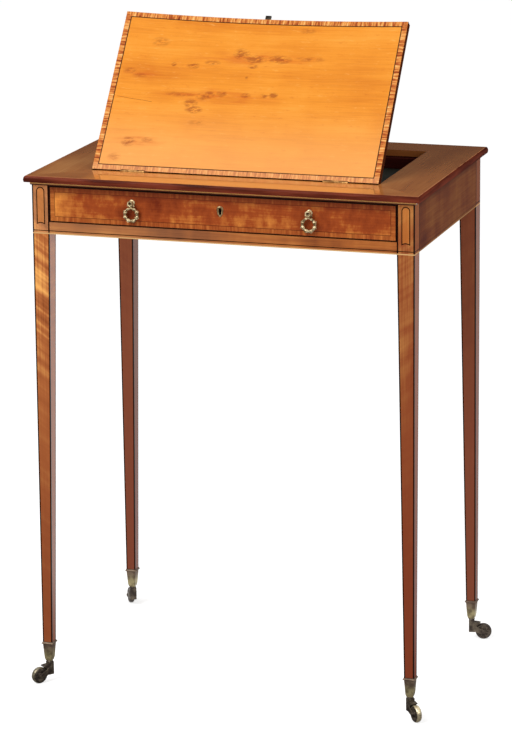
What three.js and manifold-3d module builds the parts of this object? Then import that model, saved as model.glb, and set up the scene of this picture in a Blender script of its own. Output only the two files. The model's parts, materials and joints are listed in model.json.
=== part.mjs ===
// Reading table: a small drawer table on castors whose top holds a rising reading slope.
// Millimetres, X to the right, Y to the back, Z up; the table stands on z = 0.
import * as THREE from 'three';
import { mergeVertices } from 'three/addons/utils/BufferGeometryUtils.js';
import Module from 'manifold-3d';

const wasm = await Module();
wasm.setup();

// Main sizes
const frameWidth = 560;            // outside of the legs, left to right
const frameDepth = 370;            // outside of the legs, front to back
const tableHeight = 755;           // floor to the top surface
const topThickness = 9;            // board of the top
const topOverhang = 9.5;           // widest part of the top's edge beyond the legs
const edgeRound = 3;               // rounding of the top's edge
const friezeDrop = 84;             // top surface to the lower edge of rail and aprons
const fitGap = 0.3;                // clearance between two fixed neighbours
const apronThickness = 16;

// Legs
const legSquare = 25.2;            // square block at the frieze
const legFootSquare = 14.7;        // square above the lip of the castor cup

// Reading slope and its well
const leafHalfWidth = 211.6;
const leafThickness = 11;
const leafGap = 0.6;               // play between leaf and opening
const frontBorder = 58.6;          // legs' front to the opening
const backBorder = 51;             // opening to the legs' back
const hingeInset = 0.8;            // hinge axis behind the front rail's edge
const leafInset = 1.6;             // leaf's front edge behind the hinge axis
const hingeLift = 0.3;             // hinge axis above the top surface
const restAngle = THREE.MathUtils.degToRad(50.3);
const wellLedge = 6;               // shelf that the closed leaf lies on
const wellWallThickness = 10;
const wellDepth = 27;              // top surface to the well's floor
const wellFloorThickness = 5;

// Easel strut
const strutPivotBack = 80;         // pivot behind the hinge axis, along the leaf
const strutPivotDrop = 17.9;       // pivot below the hinge axis, square to the leaf
const strutLength = 133;
const strutHalfWidth = 54.5;
const strutThickness = 6;
const strutBarWidth = 9;
const strutRodRadius = 1.6;
const strutFootGap = 0.36;         // raised strut's foot above the well's floor
const rackThickness = 5.4;
const rackWidth = 12;
const rackPitch = 11;
const rackTeeth = 9;
const rackPastFoot = 0.7;          // rearmost notch behind the raised strut's foot
const rackNotchDepth = 3.2;

// Drawer
const drawerSideGap = 0.8;
const drawerFrontThickness = 16;
const drawerFrontSetback = 0.5;
const drawerRailHeight = 17.2;
const drawerTopGap = 1;            // drawer front under the rail above it
const drawerSideThickness = 8;
const drawerHeadroom = 6;          // drawer sides under the well's floor
const drawerBackRoom = 19;         // drawer's back to the back apron
const drawerBottomRaise = 4.5;     // bottom panel above the drawer's lower edge
const drawerBottomThickness = 4;
const grooveDepth = 3;
const railDepth = 40;
const topRailThickness = 4.7;

// Bead under the top
const beadHeight = 4.7;
const beadReach = 2.2;

// Castors
const wheelRadius = 12.3;
const wheelHalfWidth = 4.5;
const castorTrail = 18;
const cupRaise = 7.9;              // wheel's top to the cup's underside
const cupHeight = 25.5;            // underside to the foot of the lip
const cupFloor = 5.2;
const cupWall = 1.4;
const cupLip = 1.7;                // lip beyond the cup's side
const cupLipHeight = 3.6;
const cupWaistSquare = 11.4;       // outside of the cup above its chamfered foot
const cupChamfer = 4.4;
const cupFootSquare = 9;
const forkArmThickness = 1.2;
const neckHalf = 4;                // half of the fork's neck, along the trail
const neckFootZ = 11;              // underside of the neck above the floor
const axleRadius = 1.6;
const stemRadius = 2.4;
const castorTurns = { front_left: 232, front_right: -48, back_left: 120, back_right: 10 };

// Handles
const handleX = 130;
const handleRise = 7.5;            // boss above the middle of the drawer front
const ringRadius = 11.4;
const ringWire = 1.8;
const bossReach = 10.6;
const bossRadius = 4.6;
const eyeReach = 4.7;              // ring's axis in front of the drawer
const eyeDrop = 2.9;               // ring's axis below the boss centre

// Colours and finishes
const finish = (name, colour, roughness, metalness = 0) => {
  const m = new THREE.MeshStandardMaterial({ color: colour, roughness, metalness });
  m.name = name;
  return m;
};
const satinwood = 0xc9793c;
const slopeWood = 0xf0a048;
const topWood = 0x96613c;
const frameWood = 0x8a4a2a;
const oak = 0x9c6f44;
const darkWood = 0x2c1c14;
const boxwood = 0xcfa67c;
const paleBrass = 0xc9b48a;
const brass = 0x8c7440;
const steel = 0x5a5550;

const root = new THREE.Group();
root.name = 'reading_table';

// Shape helpers
const toSolid = (geometry) => {
  const g = geometry.clone();
  g.deleteAttribute('normal');
  g.deleteAttribute('uv');
  const merged = mergeVertices(g, 1e-4);
  const mesh = new wasm.Mesh({
    numProp: 3,
    vertProperties: new Float32Array(merged.attributes.position.array),
    triVerts: new Uint32Array(merged.index.array),
  });
  return new wasm.Manifold(mesh);
};

const toGeometry = (solid) => {
  const mesh = solid.getMesh();
  const g = new THREE.BufferGeometry();
  g.setAttribute('position', new THREE.BufferAttribute(new Float32Array(mesh.vertProperties), 3));
  g.setIndex(new THREE.BufferAttribute(new Uint32Array(mesh.triVerts), 1));
  return g;
};

const addPiece = (name, geometry, material, parent = root) => {
  const flat = geometry.index ? geometry.toNonIndexed() : geometry;
  flat.computeVertexNormals();
  const mesh = new THREE.Mesh(flat, material);
  mesh.name = name;
  parent.add(mesh);
  return mesh;
};

// A block given by its lowest and highest corner
const block = (x0, x1, y0, y1, z0, z1) => {
  const g = new THREE.BoxGeometry(x1 - x0, y1 - y0, z1 - z0);
  g.translate((x0 + x1) / 2, (y0 + y1) / 2, (z0 + z1) / 2);
  return g;
};

// A stack of rectangles joined into one closed form, lowest level first
const rectangleStack = (levels) => {
  const points = [];
  for (const l of levels) {
    points.push([l.x0, l.y0, l.z], [l.x1, l.y0, l.z], [l.x1, l.y1, l.z], [l.x0, l.y1, l.z]);
  }
  const index = [0, 2, 1, 0, 3, 2];
  for (let k = 0; k + 1 < levels.length; k += 1) {
    const low = 4 * k;
    const high = low + 4;
    for (let i = 0; i < 4; i += 1) {
      const j = (i + 1) % 4;
      index.push(low + i, low + j, high + j, low + i, high + j, high + i);
    }
  }
  const last = 4 * (levels.length - 1);
  index.push(last, last + 1, last + 2, last, last + 2, last + 3);
  const g = new THREE.BufferGeometry();
  g.setAttribute('position', new THREE.Float32BufferAttribute(points.flat(), 3));
  g.setIndex(index);
  return g;
};

// A section carried between two ends; each end places every section point itself
const sweepBetween = (outline, placeStart, placeEnd) => {
  const turn = THREE.ShapeUtils.area(outline.map(([u, z]) => new THREE.Vector2(u, z)));
  const section = turn < 0 ? [...outline].reverse() : outline;
  const shape = section.map(([u, z]) => new THREE.Vector2(u, z));
  const caps = THREE.ShapeUtils.triangulateShape(shape, []);
  const n = section.length;
  const points = [...section.map(placeStart), ...section.map(placeEnd)];
  const index = [];
  for (const [a, b, c] of caps) {
    index.push(a, c, b, n + a, n + b, n + c);
  }
  for (let i = 0; i < n; i += 1) {
    const j = (i + 1) % n;
    index.push(i, j, n + j, i, n + j, n + i);
  }
  const g = new THREE.BufferGeometry();
  g.setAttribute('position', new THREE.Float32BufferAttribute(points.flat(), 3));
  g.setIndex(index);
  return g;
};

// Turns a closed form inside out when its volume comes out negative
const facingOut = (g) => {
  const p = g.attributes.position;
  const idx = g.index.array;
  const a = new THREE.Vector3();
  const b = new THREE.Vector3();
  const c = new THREE.Vector3();
  let volume = 0;
  for (let i = 0; i < idx.length; i += 3) {
    a.fromBufferAttribute(p, idx[i]);
    b.fromBufferAttribute(p, idx[i + 1]);
    c.fromBufferAttribute(p, idx[i + 2]);
    volume += a.dot(b.cross(c));
  }
  if (volume < 0) {
    for (let i = 0; i < idx.length; i += 3) {
      const keep = idx[i + 1];
      idx[i + 1] = idx[i + 2];
      idx[i + 2] = keep;
    }
  }
  return g;
};

// A cylinder along X, Y or Z between two places on that axis
const rod = (axis, radius, from, to, sides = 20) => {
  const g = new THREE.CylinderGeometry(radius, radius, to - from, sides);
  if (axis === 'x') {
    g.rotateZ(-Math.PI / 2);
    g.translate((from + to) / 2, 0, 0);
  } else if (axis === 'z') {
    g.rotateX(Math.PI / 2);
    g.translate(0, 0, (from + to) / 2);
  } else {
    g.translate(0, (from + to) / 2, 0);
  }
  return g;
};

const cut = (geometry, ...tools) => {
  let solid = toSolid(geometry);
  for (const t of tools) {
    solid = solid.subtract(toSolid(t));
  }
  return toGeometry(solid);
};

const join = (...geometries) => {
  let solid = toSolid(geometries[0]);
  for (const g of geometries.slice(1)) {
    solid = solid.add(toSolid(g));
  }
  return toGeometry(solid);
};

// Derived places
const legX = frameWidth / 2;
const legY = frameDepth / 2;
const topUnder = tableHeight - topThickness;
const carcassTop = topUnder - fitGap;
const openingHalfWidth = leafHalfWidth + leafGap;
const outerX = legX + topOverhang;
const outerY = legY + topOverhang;
const innerLegX = legX - legSquare;
const innerLegY = legY - legSquare;
const friezeBottom = tableHeight - friezeDrop;
const openingFrontY = frontBorder - legY;
const openingBackY = legY - backBorder;
const hingeY = openingFrontY + hingeInset;
const hingeZ = tableHeight + hingeLift;
const wellFloorTop = tableHeight - wellDepth;
const drawerFrontBottom = friezeBottom + drawerRailHeight + drawerSideGap;
const drawerFrontTop = carcassTop - topRailThickness - drawerTopGap;
const drawerMiddleZ = (drawerFrontBottom + drawerFrontTop) / 2;
const drawerBottomZ = drawerFrontBottom + drawerBottomRaise;
const drawerSideTop = wellFloorTop - wellFloorThickness - drawerHeadroom;
const drawerBackY = legY - apronThickness - drawerBackRoom;
const cupBottomZ = 2 * wheelRadius + cupRaise;
const legFootZ = cupBottomZ + cupHeight;
const cupTopZ = legFootZ + cupLipHeight;
const legEndZ = cupBottomZ + cupFloor + fitGap;
const cutOverrun = 1;              // how far a cutting tool passes a face

// Top: four mitred rails with a rounded edge
const edgeSteps = 6;
const edgeLipShare = 0.22;
const edgeWaistShare = 0.66;
const topSection = (width) => {
  const section = [[edgeRound * edgeLipShare, topUnder]];
  for (let i = 0; i <= edgeSteps; i += 1) {
    const t = (Math.PI / 2) * (i / edgeSteps);
    const rise = topThickness * edgeWaistShare;
    section.push([edgeRound * (1 - Math.cos(t)), tableHeight - rise + rise * Math.sin(t)]);
  }
  section.push([width, tableHeight], [width, topUnder]);
  return section;
};
const sideRailWidth = outerX - openingHalfWidth;
const frontRailWidth = outerY + openingFrontY;
const backRailWidth = outerY - openingBackY;
const mitreGap = fitGap / 2;

const longRail = (width, side) => {
  const slope = sideRailWidth / width;
  const reach = (u) => outerX - u * slope - mitreGap;
  const place = (end) => ([u, z]) => [end * reach(u), side * (outerY - u), z];
  return facingOut(sweepBetween(topSection(width), place(-1), place(1)));
};
const shortRail = (side) => {
  const frontSlope = frontRailWidth / sideRailWidth;
  const backSlope = backRailWidth / sideRailWidth;
  const front = ([u, z]) => [side * (outerX - u), -outerY + u * frontSlope + mitreGap, z];
  const back = ([u, z]) => [side * (outerX - u), outerY - u * backSlope - mitreGap, z];
  return facingOut(sweepBetween(topSection(sideRailWidth), front, back));
};

// Butt hinges of the slope: plates let into the rail's and the leaf's edges
const hingeX = 150;
const hingeLength = 36;
const plateThickness = 1.1;
const plateHeight = 7;
const knuckleRadius = 1.9;
const pinRadius = 0.8;
const pinPlay = 0.25;
const knuckleShare = 0.34;
const pocketPlay = 0.2;
const pocketDepth = plateThickness + pocketPlay;

// Small tab let into the leaf's back edge, to lift it by; the rail behind has a notch for it
const tabHalfWidth = 4.1;
const tabThickness = 2.8;
const tabReach = 7.2;              // beyond the leaf's back edge
const tabRoot = 6;                 // let into the leaf
const tabSink = 1.2;               // below the leaf's surface
const tabPlay = 0.7;
const tabNotch = block(
  -tabHalfWidth - tabPlay,
  tabHalfWidth + tabPlay,
  openingBackY - cutOverrun,
  openingBackY - leafGap + tabReach + tabPlay,
  tableHeight - tabSink - tabThickness - tabPlay,
  tableHeight + cutOverrun,
);

const hingePocket = (cx, y0, y1) => block(
  cx - hingeLength / 2 - pocketPlay,
  cx + hingeLength / 2 + pocketPlay,
  y0,
  y1,
  tableHeight - plateHeight - pocketPlay,
  tableHeight + plateHeight,
);
const knuckleClear = (cx, y, z) => {
  const reach = hingeLength / 2 + pocketPlay;
  const g = rod('x', knuckleRadius + fitGap, cx - reach, cx + reach);
  g.translate(0, y, z);
  return g;
};

const railCuts = [-hingeX, hingeX].flatMap((cx) => [
  hingePocket(cx, openingFrontY - pocketDepth, openingFrontY + pocketDepth),
  knuckleClear(cx, hingeY, hingeZ),
]);
const topFinish = () => finish('top_wood', topWood, 0.3);
addPiece('top_rail_front', cut(longRail(frontRailWidth, -1), ...railCuts), topFinish());
addPiece('top_rail_back', cut(longRail(backRailWidth, 1), tabNotch), topFinish());
addPiece('top_rail_left', shortRail(-1), topFinish());
addPiece('top_rail_right', shortRail(1), topFinish());

// Pale bead that runs round the frieze just under the top
const beadSteps = 6;
const beadSection = [[fitGap, carcassTop], [fitGap, carcassTop - beadHeight]];
for (let i = 0; i <= beadSteps; i += 1) {
  const t = Math.PI * (i / beadSteps);
  const out = fitGap + (beadReach - fitGap) * Math.sin(t);
  const z = carcassTop - beadHeight * (1 + Math.cos(t)) / 2;
  if (i > 0 && i < beadSteps) {
    beadSection.push([out, z]);
  }
}
const ringOfSection = (section, halfX, halfY) => {
  const corners = [[-1, -1], [1, -1], [1, 1], [-1, 1]];
  const n = section.length;
  const points = [];
  for (const [sx, sy] of corners) {
    for (const [u, z] of section) {
      points.push([sx * (halfX + u), sy * (halfY + u), z]);
    }
  }
  const index = [];
  for (let c = 0; c < corners.length; c += 1) {
    const d = (c + 1) % corners.length;
    for (let i = 0; i < n; i += 1) {
      const j = (i + 1) % n;
      index.push(c * n + i, d * n + i, d * n + j, c * n + i, d * n + j, c * n + j);
    }
  }
  const g = new THREE.BufferGeometry();
  g.setAttribute('position', new THREE.Float32BufferAttribute(points.flat(), 3));
  g.setIndex(index);
  return facingOut(g);
};
addPiece('top_bead', ringOfSection(beadSection, legX, legY), finish('boxwood', boxwood, 0.45));

// Legs: a square block at the frieze, then a taper on the two inner faces
const taperDrop = (z) => (friezeBottom - z) / (friezeBottom - cupTopZ);
const legSideAt = (z) => legSquare - (legSquare - legFootSquare) * Math.max(0, taperDrop(z));
const cupOutsideAt = (z) => {
  const waistZ = cupBottomZ + cupChamfer;
  const low = z < waistZ ? cupFootSquare : cupWaistSquare;
  const high = z < waistZ ? cupWaistSquare : legFootSquare;
  const from = z < waistZ ? cupBottomZ : waistZ;
  const to = z < waistZ ? waistZ : legFootZ;
  return low + (high - low) * Math.min(1, (z - from) / (to - from));
};
const tenonSideAt = (z) => cupOutsideAt(z) - 2 * cupWall - 2 * fitGap;
const legCorner = (sx, sy, side) => ({
  x0: Math.min(sx * legX, sx * (legX - side)),
  x1: Math.max(sx * legX, sx * (legX - side)),
  y0: Math.min(sy * legY, sy * (legY - side)),
  y1: Math.max(sy * legY, sy * (legY - side)),
});
const footCentre = (sx, sy) => [sx * (legX - legFootSquare / 2), sy * (legY - legFootSquare / 2)];
const centred = (sx, sy, side) => {
  const [cx, cy] = footCentre(sx, sy);
  return { x0: cx - side / 2, x1: cx + side / 2, y0: cy - side / 2, y1: cy + side / 2 };
};
const corners = {
  front_left: [-1, -1],
  front_right: [1, -1],
  back_left: [-1, 1],
  back_right: [1, 1],
};
for (const [place, [sx, sy]] of Object.entries(corners)) {
  const levels = [
    { z: legEndZ, ...centred(sx, sy, tenonSideAt(legEndZ)) },
    { z: legFootZ, ...centred(sx, sy, tenonSideAt(legFootZ)) },
    { z: cupTopZ + fitGap, ...centred(sx, sy, tenonSideAt(legFootZ)) },
    { z: cupTopZ + fitGap, ...legCorner(sx, sy, legFootSquare) },
    { z: friezeBottom, ...legCorner(sx, sy, legSideAt(friezeBottom)) },
    { z: carcassTop, ...legCorner(sx, sy, legSquare) },
  ];
  addPiece(`leg_${place}`, facingOut(rectangleStack(levels)), finish('satinwood', satinwood, 0.35));
}

// Aprons, drawer rail and the thin rail above the drawer
const apronX = innerLegX - fitGap;
const apronY = innerLegY - fitGap;
for (const [name, s] of [['left', -1], ['right', 1]]) {
  const a = s * legX;
  const b = s * (legX - apronThickness);
  const g = block(Math.min(a, b), Math.max(a, b), -apronY, apronY, friezeBottom, carcassTop);
  addPiece(`apron_${name}`, g, finish('satinwood', satinwood, 0.35));
}
addPiece(
  'apron_back',
  block(-apronX, apronX, legY - apronThickness, legY, friezeBottom, carcassTop),
  finish('satinwood', satinwood, 0.35),
);
const railTop = friezeBottom + drawerRailHeight;
addPiece(
  'drawer_rail',
  block(-apronX, apronX, -legY, -legY + railDepth, friezeBottom, railTop),
  finish('satinwood', satinwood, 0.35),
);
addPiece(
  'top_cross_rail',
  block(-apronX, apronX, -legY, -legY + railDepth, carcassTop - topRailThickness, carcassTop),
  finish('frame_wood', frameWood, 0.5),
);

// Runners with a guide beside the drawer side
const drawerHalf = innerLegX - drawerSideGap;
const runnerInner = drawerHalf - drawerSideThickness;
const guideInner = drawerHalf + fitGap;
const runnerOuter = legX - apronThickness - fitGap;
const runnerRaise = 5;             // runner above the frieze's lower edge
const guideDrop = 9;               // guide below the drawer sides' top
const runnerBottom = friezeBottom + runnerRaise;
const guideTop = drawerSideTop - guideDrop;
const runnerTop = drawerFrontBottom - fitGap;
for (const [name, s] of [['left', -1], ['right', 1]]) {
  const section = [
    [runnerInner, runnerBottom],
    [runnerOuter, runnerBottom],
    [runnerOuter, guideTop],
    [guideInner, guideTop],
    [guideInner, runnerTop],
    [runnerInner, runnerTop],
  ];
  const from = -legY + railDepth + fitGap;
  const to = legY - apronThickness - fitGap;
  const at = (y) => ([x, z]) => [s * x, y, z];
  const plain = facingOut(sweepBetween(section, at(from), at(to)));
  const nearX = Math.min(s * (innerLegX - fitGap), s * legX);
  const farX = Math.max(s * (innerLegX - fitGap), s * legX);
  const legSpace = block(nearX, farX, innerLegY - fitGap, legY, friezeBottom, carcassTop);
  addPiece(`drawer_runner_${name}`, cut(plain, legSpace), finish('oak', oak, 0.7));
}

// Well under the slope: lining boards rebated to carry the closed leaf, and a floor
const wellX = openingHalfWidth - wellLedge;
const wellFrontY = openingFrontY + wellLedge;
const wellBackY = openingBackY - wellLedge;
const wallReach = wellX + wellWallThickness;
const wallBottom = wellFloorTop + fitGap;
const ledgeZ = tableHeight - leafThickness - fitGap;
const liningFinish = () => finish('dark_lining', darkWood, 0.75);
const wallSection = [
  [0, wallBottom],
  [wellWallThickness, wallBottom],
  [wellWallThickness, carcassTop],
  [wellLedge, carcassTop],
  [wellLedge, ledgeZ],
  [0, ledgeZ],
];
for (const [name, s] of [['left', -1], ['right', 1]]) {
  const at = (y) => ([u, z]) => [s * (wellX + u), y, z];
  const g = facingOut(sweepBetween(wallSection, at(wellFrontY + fitGap), at(wellBackY - fitGap)));
  addPiece(`well_wall_${name}`, g, liningFinish());
}
for (const [name, y0, s] of [['front', wellFrontY, -1], ['back', wellBackY, 1]]) {
  const at = (x) => ([u, z]) => [x, y0 + s * u, z];
  const g = facingOut(sweepBetween(wallSection, at(-wallReach), at(wallReach)));
  addPiece(`well_wall_${name}`, g, liningFinish());
}
addPiece(
  'well_floor',
  block(
    -wallReach,
    wallReach,
    wellFrontY - wellWallThickness,
    wellBackY + wellWallThickness,
    wellFloorTop - wellFloorThickness,
    wellFloorTop,
  ),
  liningFinish(),
);

// Slope leaf, built closed about the hinge axis and turned up to its raised place
const slope = new THREE.Group();
slope.name = 'slope_group';
slope.position.set(0, hingeY, hingeZ);
slope.rotation.x = restAngle;
root.add(slope);
const leafFront = leafInset;
const leafBack = openingBackY - leafGap - hingeY;
const leafTop = -hingeLift;
const leafUnder = leafTop - leafThickness;
const leafBlock = block(-leafHalfWidth, leafHalfWidth, leafFront, leafBack, leafUnder, leafTop);
const leafCuts = [-hingeX, hingeX].flatMap((cx) => {
  const pocket = hingePocket(cx, leafFront - pocketDepth, leafFront + pocketDepth);
  pocket.translate(0, 0, -hingeZ);
  return [pocket, knuckleClear(cx, 0, 0)];
});
const tabTop = leafTop - tabSink;
const tabFoot = tabTop - tabThickness;
const tabMortise = block(
  -tabHalfWidth - fitGap,
  tabHalfWidth + fitGap,
  leafBack - tabRoot - fitGap,
  leafBack + cutOverrun,
  tabFoot - fitGap,
  tabTop + fitGap,
);
addPiece(
  'slope_leaf',
  cut(leafBlock, ...leafCuts, tabMortise),
  finish('slope_wood', slopeWood, 0.3),
  slope,
);
addPiece(
  'lift_tab',
  block(-tabHalfWidth, tabHalfWidth, leafBack - tabRoot, leafBack + tabReach, tabFoot, tabTop),
  finish('steel', steel, 0.5, 1),
  slope,
);

// Hinges: the fixed plate keeps the pin and two knuckles, the moving plate the middle one
const knuckleHalf = hingeLength * knuckleShare / 2;
for (const [name, cx] of [['left', -hingeX], ['right', hingeX]]) {
  const half = hingeLength / 2;
  const plateTop = -hingeLift;
  const fixedY = openingFrontY - hingeY - pocketPlay / 2;
  const plateFoot = plateTop - plateHeight;
  const plate = block(cx - half, cx + half, fixedY - plateThickness, fixedY, plateFoot, 0);
  const middleSpace = block(
    cx - knuckleHalf - pinPlay,
    cx + knuckleHalf + pinPlay,
    fixedY - plateThickness - pocketPlay,
    knuckleRadius + fitGap,
    -knuckleRadius - fitGap,
    knuckleRadius + fitGap,
  );
  const barrels = rod('x', knuckleRadius, cx - half, cx + half);
  const pin = rod('x', pinRadius, cx - half, cx + half, 16);
  const leafSweep = block(
    cx - half - pocketPlay,
    cx + half + pocketPlay,
    fitGap / 2,
    knuckleRadius + plateHeight,
    -plateHeight - knuckleRadius,
    -knuckleRadius,
  );
  const fixedBody = toGeometry(
    toSolid(plate).add(toSolid(barrels)).subtract(toSolid(middleSpace)).subtract(toSolid(leafSweep))
      .add(toSolid(pin)),
  );
  fixedBody.translate(0, hingeY, hingeZ);
  addPiece(`hinge_fixed_${name}`, fixedBody, finish('brass', brass, 0.4, 1));

  const movingY = leafFront + pocketPlay / 2;
  const movingPlate = block(
    cx - half,
    cx + half,
    movingY,
    movingY + plateThickness,
    plateTop - plateHeight,
    -knuckleRadius - fitGap,
  );
  const neckUp = block(
    cx - knuckleHalf,
    cx + knuckleHalf,
    movingY,
    movingY + plateThickness,
    -knuckleRadius - fitGap - plateThickness,
    0,
  );
  const neckIn = block(
    cx - knuckleHalf,
    cx + knuckleHalf,
    0,
    movingY + plateThickness,
    -knuckleRadius,
    0,
  );
  const middle = rod('x', knuckleRadius, cx - knuckleHalf, cx + knuckleHalf);
  const bore = rod('x', pinRadius + pinPlay, cx - half, cx + half, 16);
  const movingBody = toGeometry(
    toSolid(movingPlate).add(toSolid(neckUp)).add(toSolid(neckIn)).add(toSolid(middle))
      .subtract(toSolid(bore)),
  );
  addPiece(`hinge_moving_${name}`, movingBody, finish('brass', brass, 0.4, 1), slope);
}

// Where the raised strut stands: its pivot, its lean below the level and its foot
const strutNoseRadius = strutThickness / 2;
const strutPivotZ = hingeZ + strutPivotBack * Math.sin(restAngle) - strutPivotDrop * Math.cos(restAngle);
const strutFall = strutPivotZ - wellFloorTop - strutNoseRadius - strutFootGap;
const strutRestLean = Math.asin(strutFall / strutLength);
const footBack = strutPivotBack * Math.cos(restAngle) + strutPivotDrop * Math.sin(restAngle)
  + strutLength * Math.cos(strutRestLean);

// Notched racks on the well floor, one on each side of the strut's foot
const rackInner = strutHalfWidth + 2 * fitGap;
const rackBase = wellFloorTop + fitGap;
const rackLast = hingeY + footBack + rackPastFoot;
const rackStart = rackLast - rackPitch * rackTeeth;
const rackMargin = 8;
const toothSteepShare = 0.14;
const rackTop = rackBase + rackThickness;
const rackSection = [[rackStart - rackMargin, rackBase], [rackStart - rackMargin, rackTop]];
for (let i = 0; i < rackTeeth; i += 1) {
  const y = rackStart + i * rackPitch;
  rackSection.push([y, rackTop]);
  rackSection.push([y + rackPitch * toothSteepShare, rackTop - rackNotchDepth]);
}
rackSection.push([rackLast, rackTop]);
rackSection.push([rackLast + rackMargin, rackTop]);
rackSection.push([rackLast + rackMargin, rackBase]);
for (const [name, s] of [['left', -1], ['right', 1]]) {
  const at = (x) => ([y, z]) => [s * x, y, z];
  const g = facingOut(sweepBetween(rackSection, at(rackInner), at(rackInner + rackWidth)));
  addPiece(`rack_${name}`, g, finish('oak', oak, 0.6));
}

// Easel strut: a frame that turns under the leaf and stands on the well floor
const strutGroup = new THREE.Group();
strutGroup.name = 'strut_group';
strutGroup.position.set(0, strutPivotBack, -strutPivotDrop);
strutGroup.rotation.x = -restAngle - strutRestLean;
slope.add(strutGroup);
const half = strutNoseRadius;
const strutBody = block(-strutHalfWidth, strutHalfWidth, 0, strutLength, -half, half);
const strutNose = rod('x', half, -strutHalfWidth, strutHalfWidth, 24);
strutNose.translate(0, strutLength, 0);
const strutHeel = rod('x', half, -strutHalfWidth, strutHalfWidth, 24);
const strutWindow = block(
  -strutHalfWidth + strutBarWidth,
  strutHalfWidth - strutBarWidth,
  strutBarWidth,
  strutLength - strutBarWidth,
  -strutThickness,
  strutThickness,
);
const boreReach = strutHalfWidth + cutOverrun;
const strutBore = rod('x', strutRodRadius + fitGap, -boreReach, boreReach, 20);
const strutSolid = toSolid(strutBody).add(toSolid(strutHeel)).add(toSolid(strutNose))
  .subtract(toSolid(strutWindow)).subtract(toSolid(strutBore));
addPiece('easel_strut', toGeometry(strutSolid), finish('oak', oak, 0.6), strutGroup);

// Bracket under the leaf with two ears, and the rod that the strut turns on
const earThickness = 5;
const bracketHalfDepth = 7;
const bracketThickness = 2.2;
const earRadius = 3.4;
const rodReach = strutHalfWidth + fitGap + earThickness;
const bracketTop = leafUnder - fitGap;
const bracketPlate = block(
  -rodReach,
  rodReach,
  strutPivotBack - bracketHalfDepth,
  strutPivotBack + bracketHalfDepth,
  bracketTop - bracketThickness,
  bracketTop,
);
const ears = [-1, 1].flatMap((s) => {
  const inner = s * (strutHalfWidth + fitGap);
  const outer = s * rodReach;
  const from = Math.min(inner, outer);
  const to = Math.max(inner, outer);
  const web = block(
    from,
    to,
    strutPivotBack - earRadius,
    strutPivotBack + earRadius,
    -strutPivotDrop,
    bracketTop - bracketThickness / 2,
  );
  const crown = rod('x', earRadius, from, to, 24);
  crown.translate(0, strutPivotBack, -strutPivotDrop);
  return [web, crown];
});
const earBore = rod('x', strutRodRadius + fitGap, -rodReach - cutOverrun, rodReach + cutOverrun, 20);
earBore.translate(0, strutPivotBack, -strutPivotDrop);
addPiece('strut_bracket', cut(join(bracketPlate, ...ears), earBore), finish('oak', oak, 0.6), slope);
const rodPiece = rod('x', strutRodRadius, -rodReach, rodReach, 20);
rodPiece.translate(0, strutPivotBack, -strutPivotDrop);
addPiece('strut_rod', rodPiece, finish('steel', steel, 0.4, 1), slope);

// Drawer
const drawer = new THREE.Group();
drawer.name = 'drawer_group';
root.add(drawer);
const frontFaceY = -legY + drawerFrontSetback;
const frontBackY = frontFaceY + drawerFrontThickness;
const sideBottom = drawerFrontBottom;
const panelTop = drawerBottomZ + drawerBottomThickness;
const keyRise = 5.5;               // keyhole above the middle of the drawer front
const keyZ = drawerMiddleZ + keyRise;
const keyRadius = 1.9;
const keySlotHalf = 1.1;
const keySlotDrop = 8.5;
const drawerFront = block(
  -drawerHalf,
  drawerHalf,
  frontFaceY,
  frontBackY,
  drawerFrontBottom,
  drawerFrontTop,
);
const frontGroove = block(
  -drawerHalf + drawerSideThickness - grooveDepth,
  drawerHalf - drawerSideThickness + grooveDepth,
  frontBackY - grooveDepth - fitGap,
  frontBackY + fitGap,
  drawerBottomZ - fitGap,
  panelTop + fitGap,
);
const keyRound = rod('y', keyRadius, frontFaceY - cutOverrun, frontBackY + cutOverrun, 16);
keyRound.translate(0, 0, keyZ);
const keySlot = block(
  -keySlotHalf,
  keySlotHalf,
  frontFaceY - cutOverrun,
  frontBackY + cutOverrun,
  keyZ - keySlotDrop,
  keyZ,
);

// Escutcheon plate let into the drawer front round the keyhole
const plateHalfWidth = 4.8;
const plateAbove = 5;              // plate's top over the keyhole's centre
const plateLength = 16;
const plateShoulderShare = 0.8;
const plateTopZ = keyZ + plateAbove;
const plateFootZ = plateTopZ - plateLength;
const plateDeep = 1.2;
const plateProud = 0.4;
const plateSteps = 12;
const plateOutline = (grow) => {
  const pts = [];
  for (let i = 0; i <= plateSteps; i += 1) {
    const t = Math.PI * (i / plateSteps);
    const w = plateHalfWidth + grow;
    pts.push([w * Math.cos(t), plateTopZ - plateHalfWidth + w * Math.sin(t)]);
  }
  pts.push([-(plateHalfWidth + grow) * plateShoulderShare, plateFootZ + plateHalfWidth]);
  pts.push([0, plateFootZ - grow]);
  pts.push([(plateHalfWidth + grow) * plateShoulderShare, plateFootZ + plateHalfWidth]);
  return pts;
};
const plateSolid = (grow, y0, y1) => facingOut(
  sweepBetween(plateOutline(grow), ([x, z]) => [x, y0, z], ([x, z]) => [x, y1, z]),
);
const platePocket = plateSolid(fitGap, frontFaceY - plateDeep, frontFaceY + plateDeep + fitGap);
addPiece(
  'drawer_front',
  cut(drawerFront, frontGroove, keyRound, keySlot, platePocket),
  finish('satinwood', satinwood, 0.35),
  drawer,
);
addPiece(
  'escutcheon',
  cut(plateSolid(0, frontFaceY - plateProud, frontFaceY + plateDeep), keyRound, keySlot),
  finish('brass', paleBrass, 0.4, 1),
  drawer,
);

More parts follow.
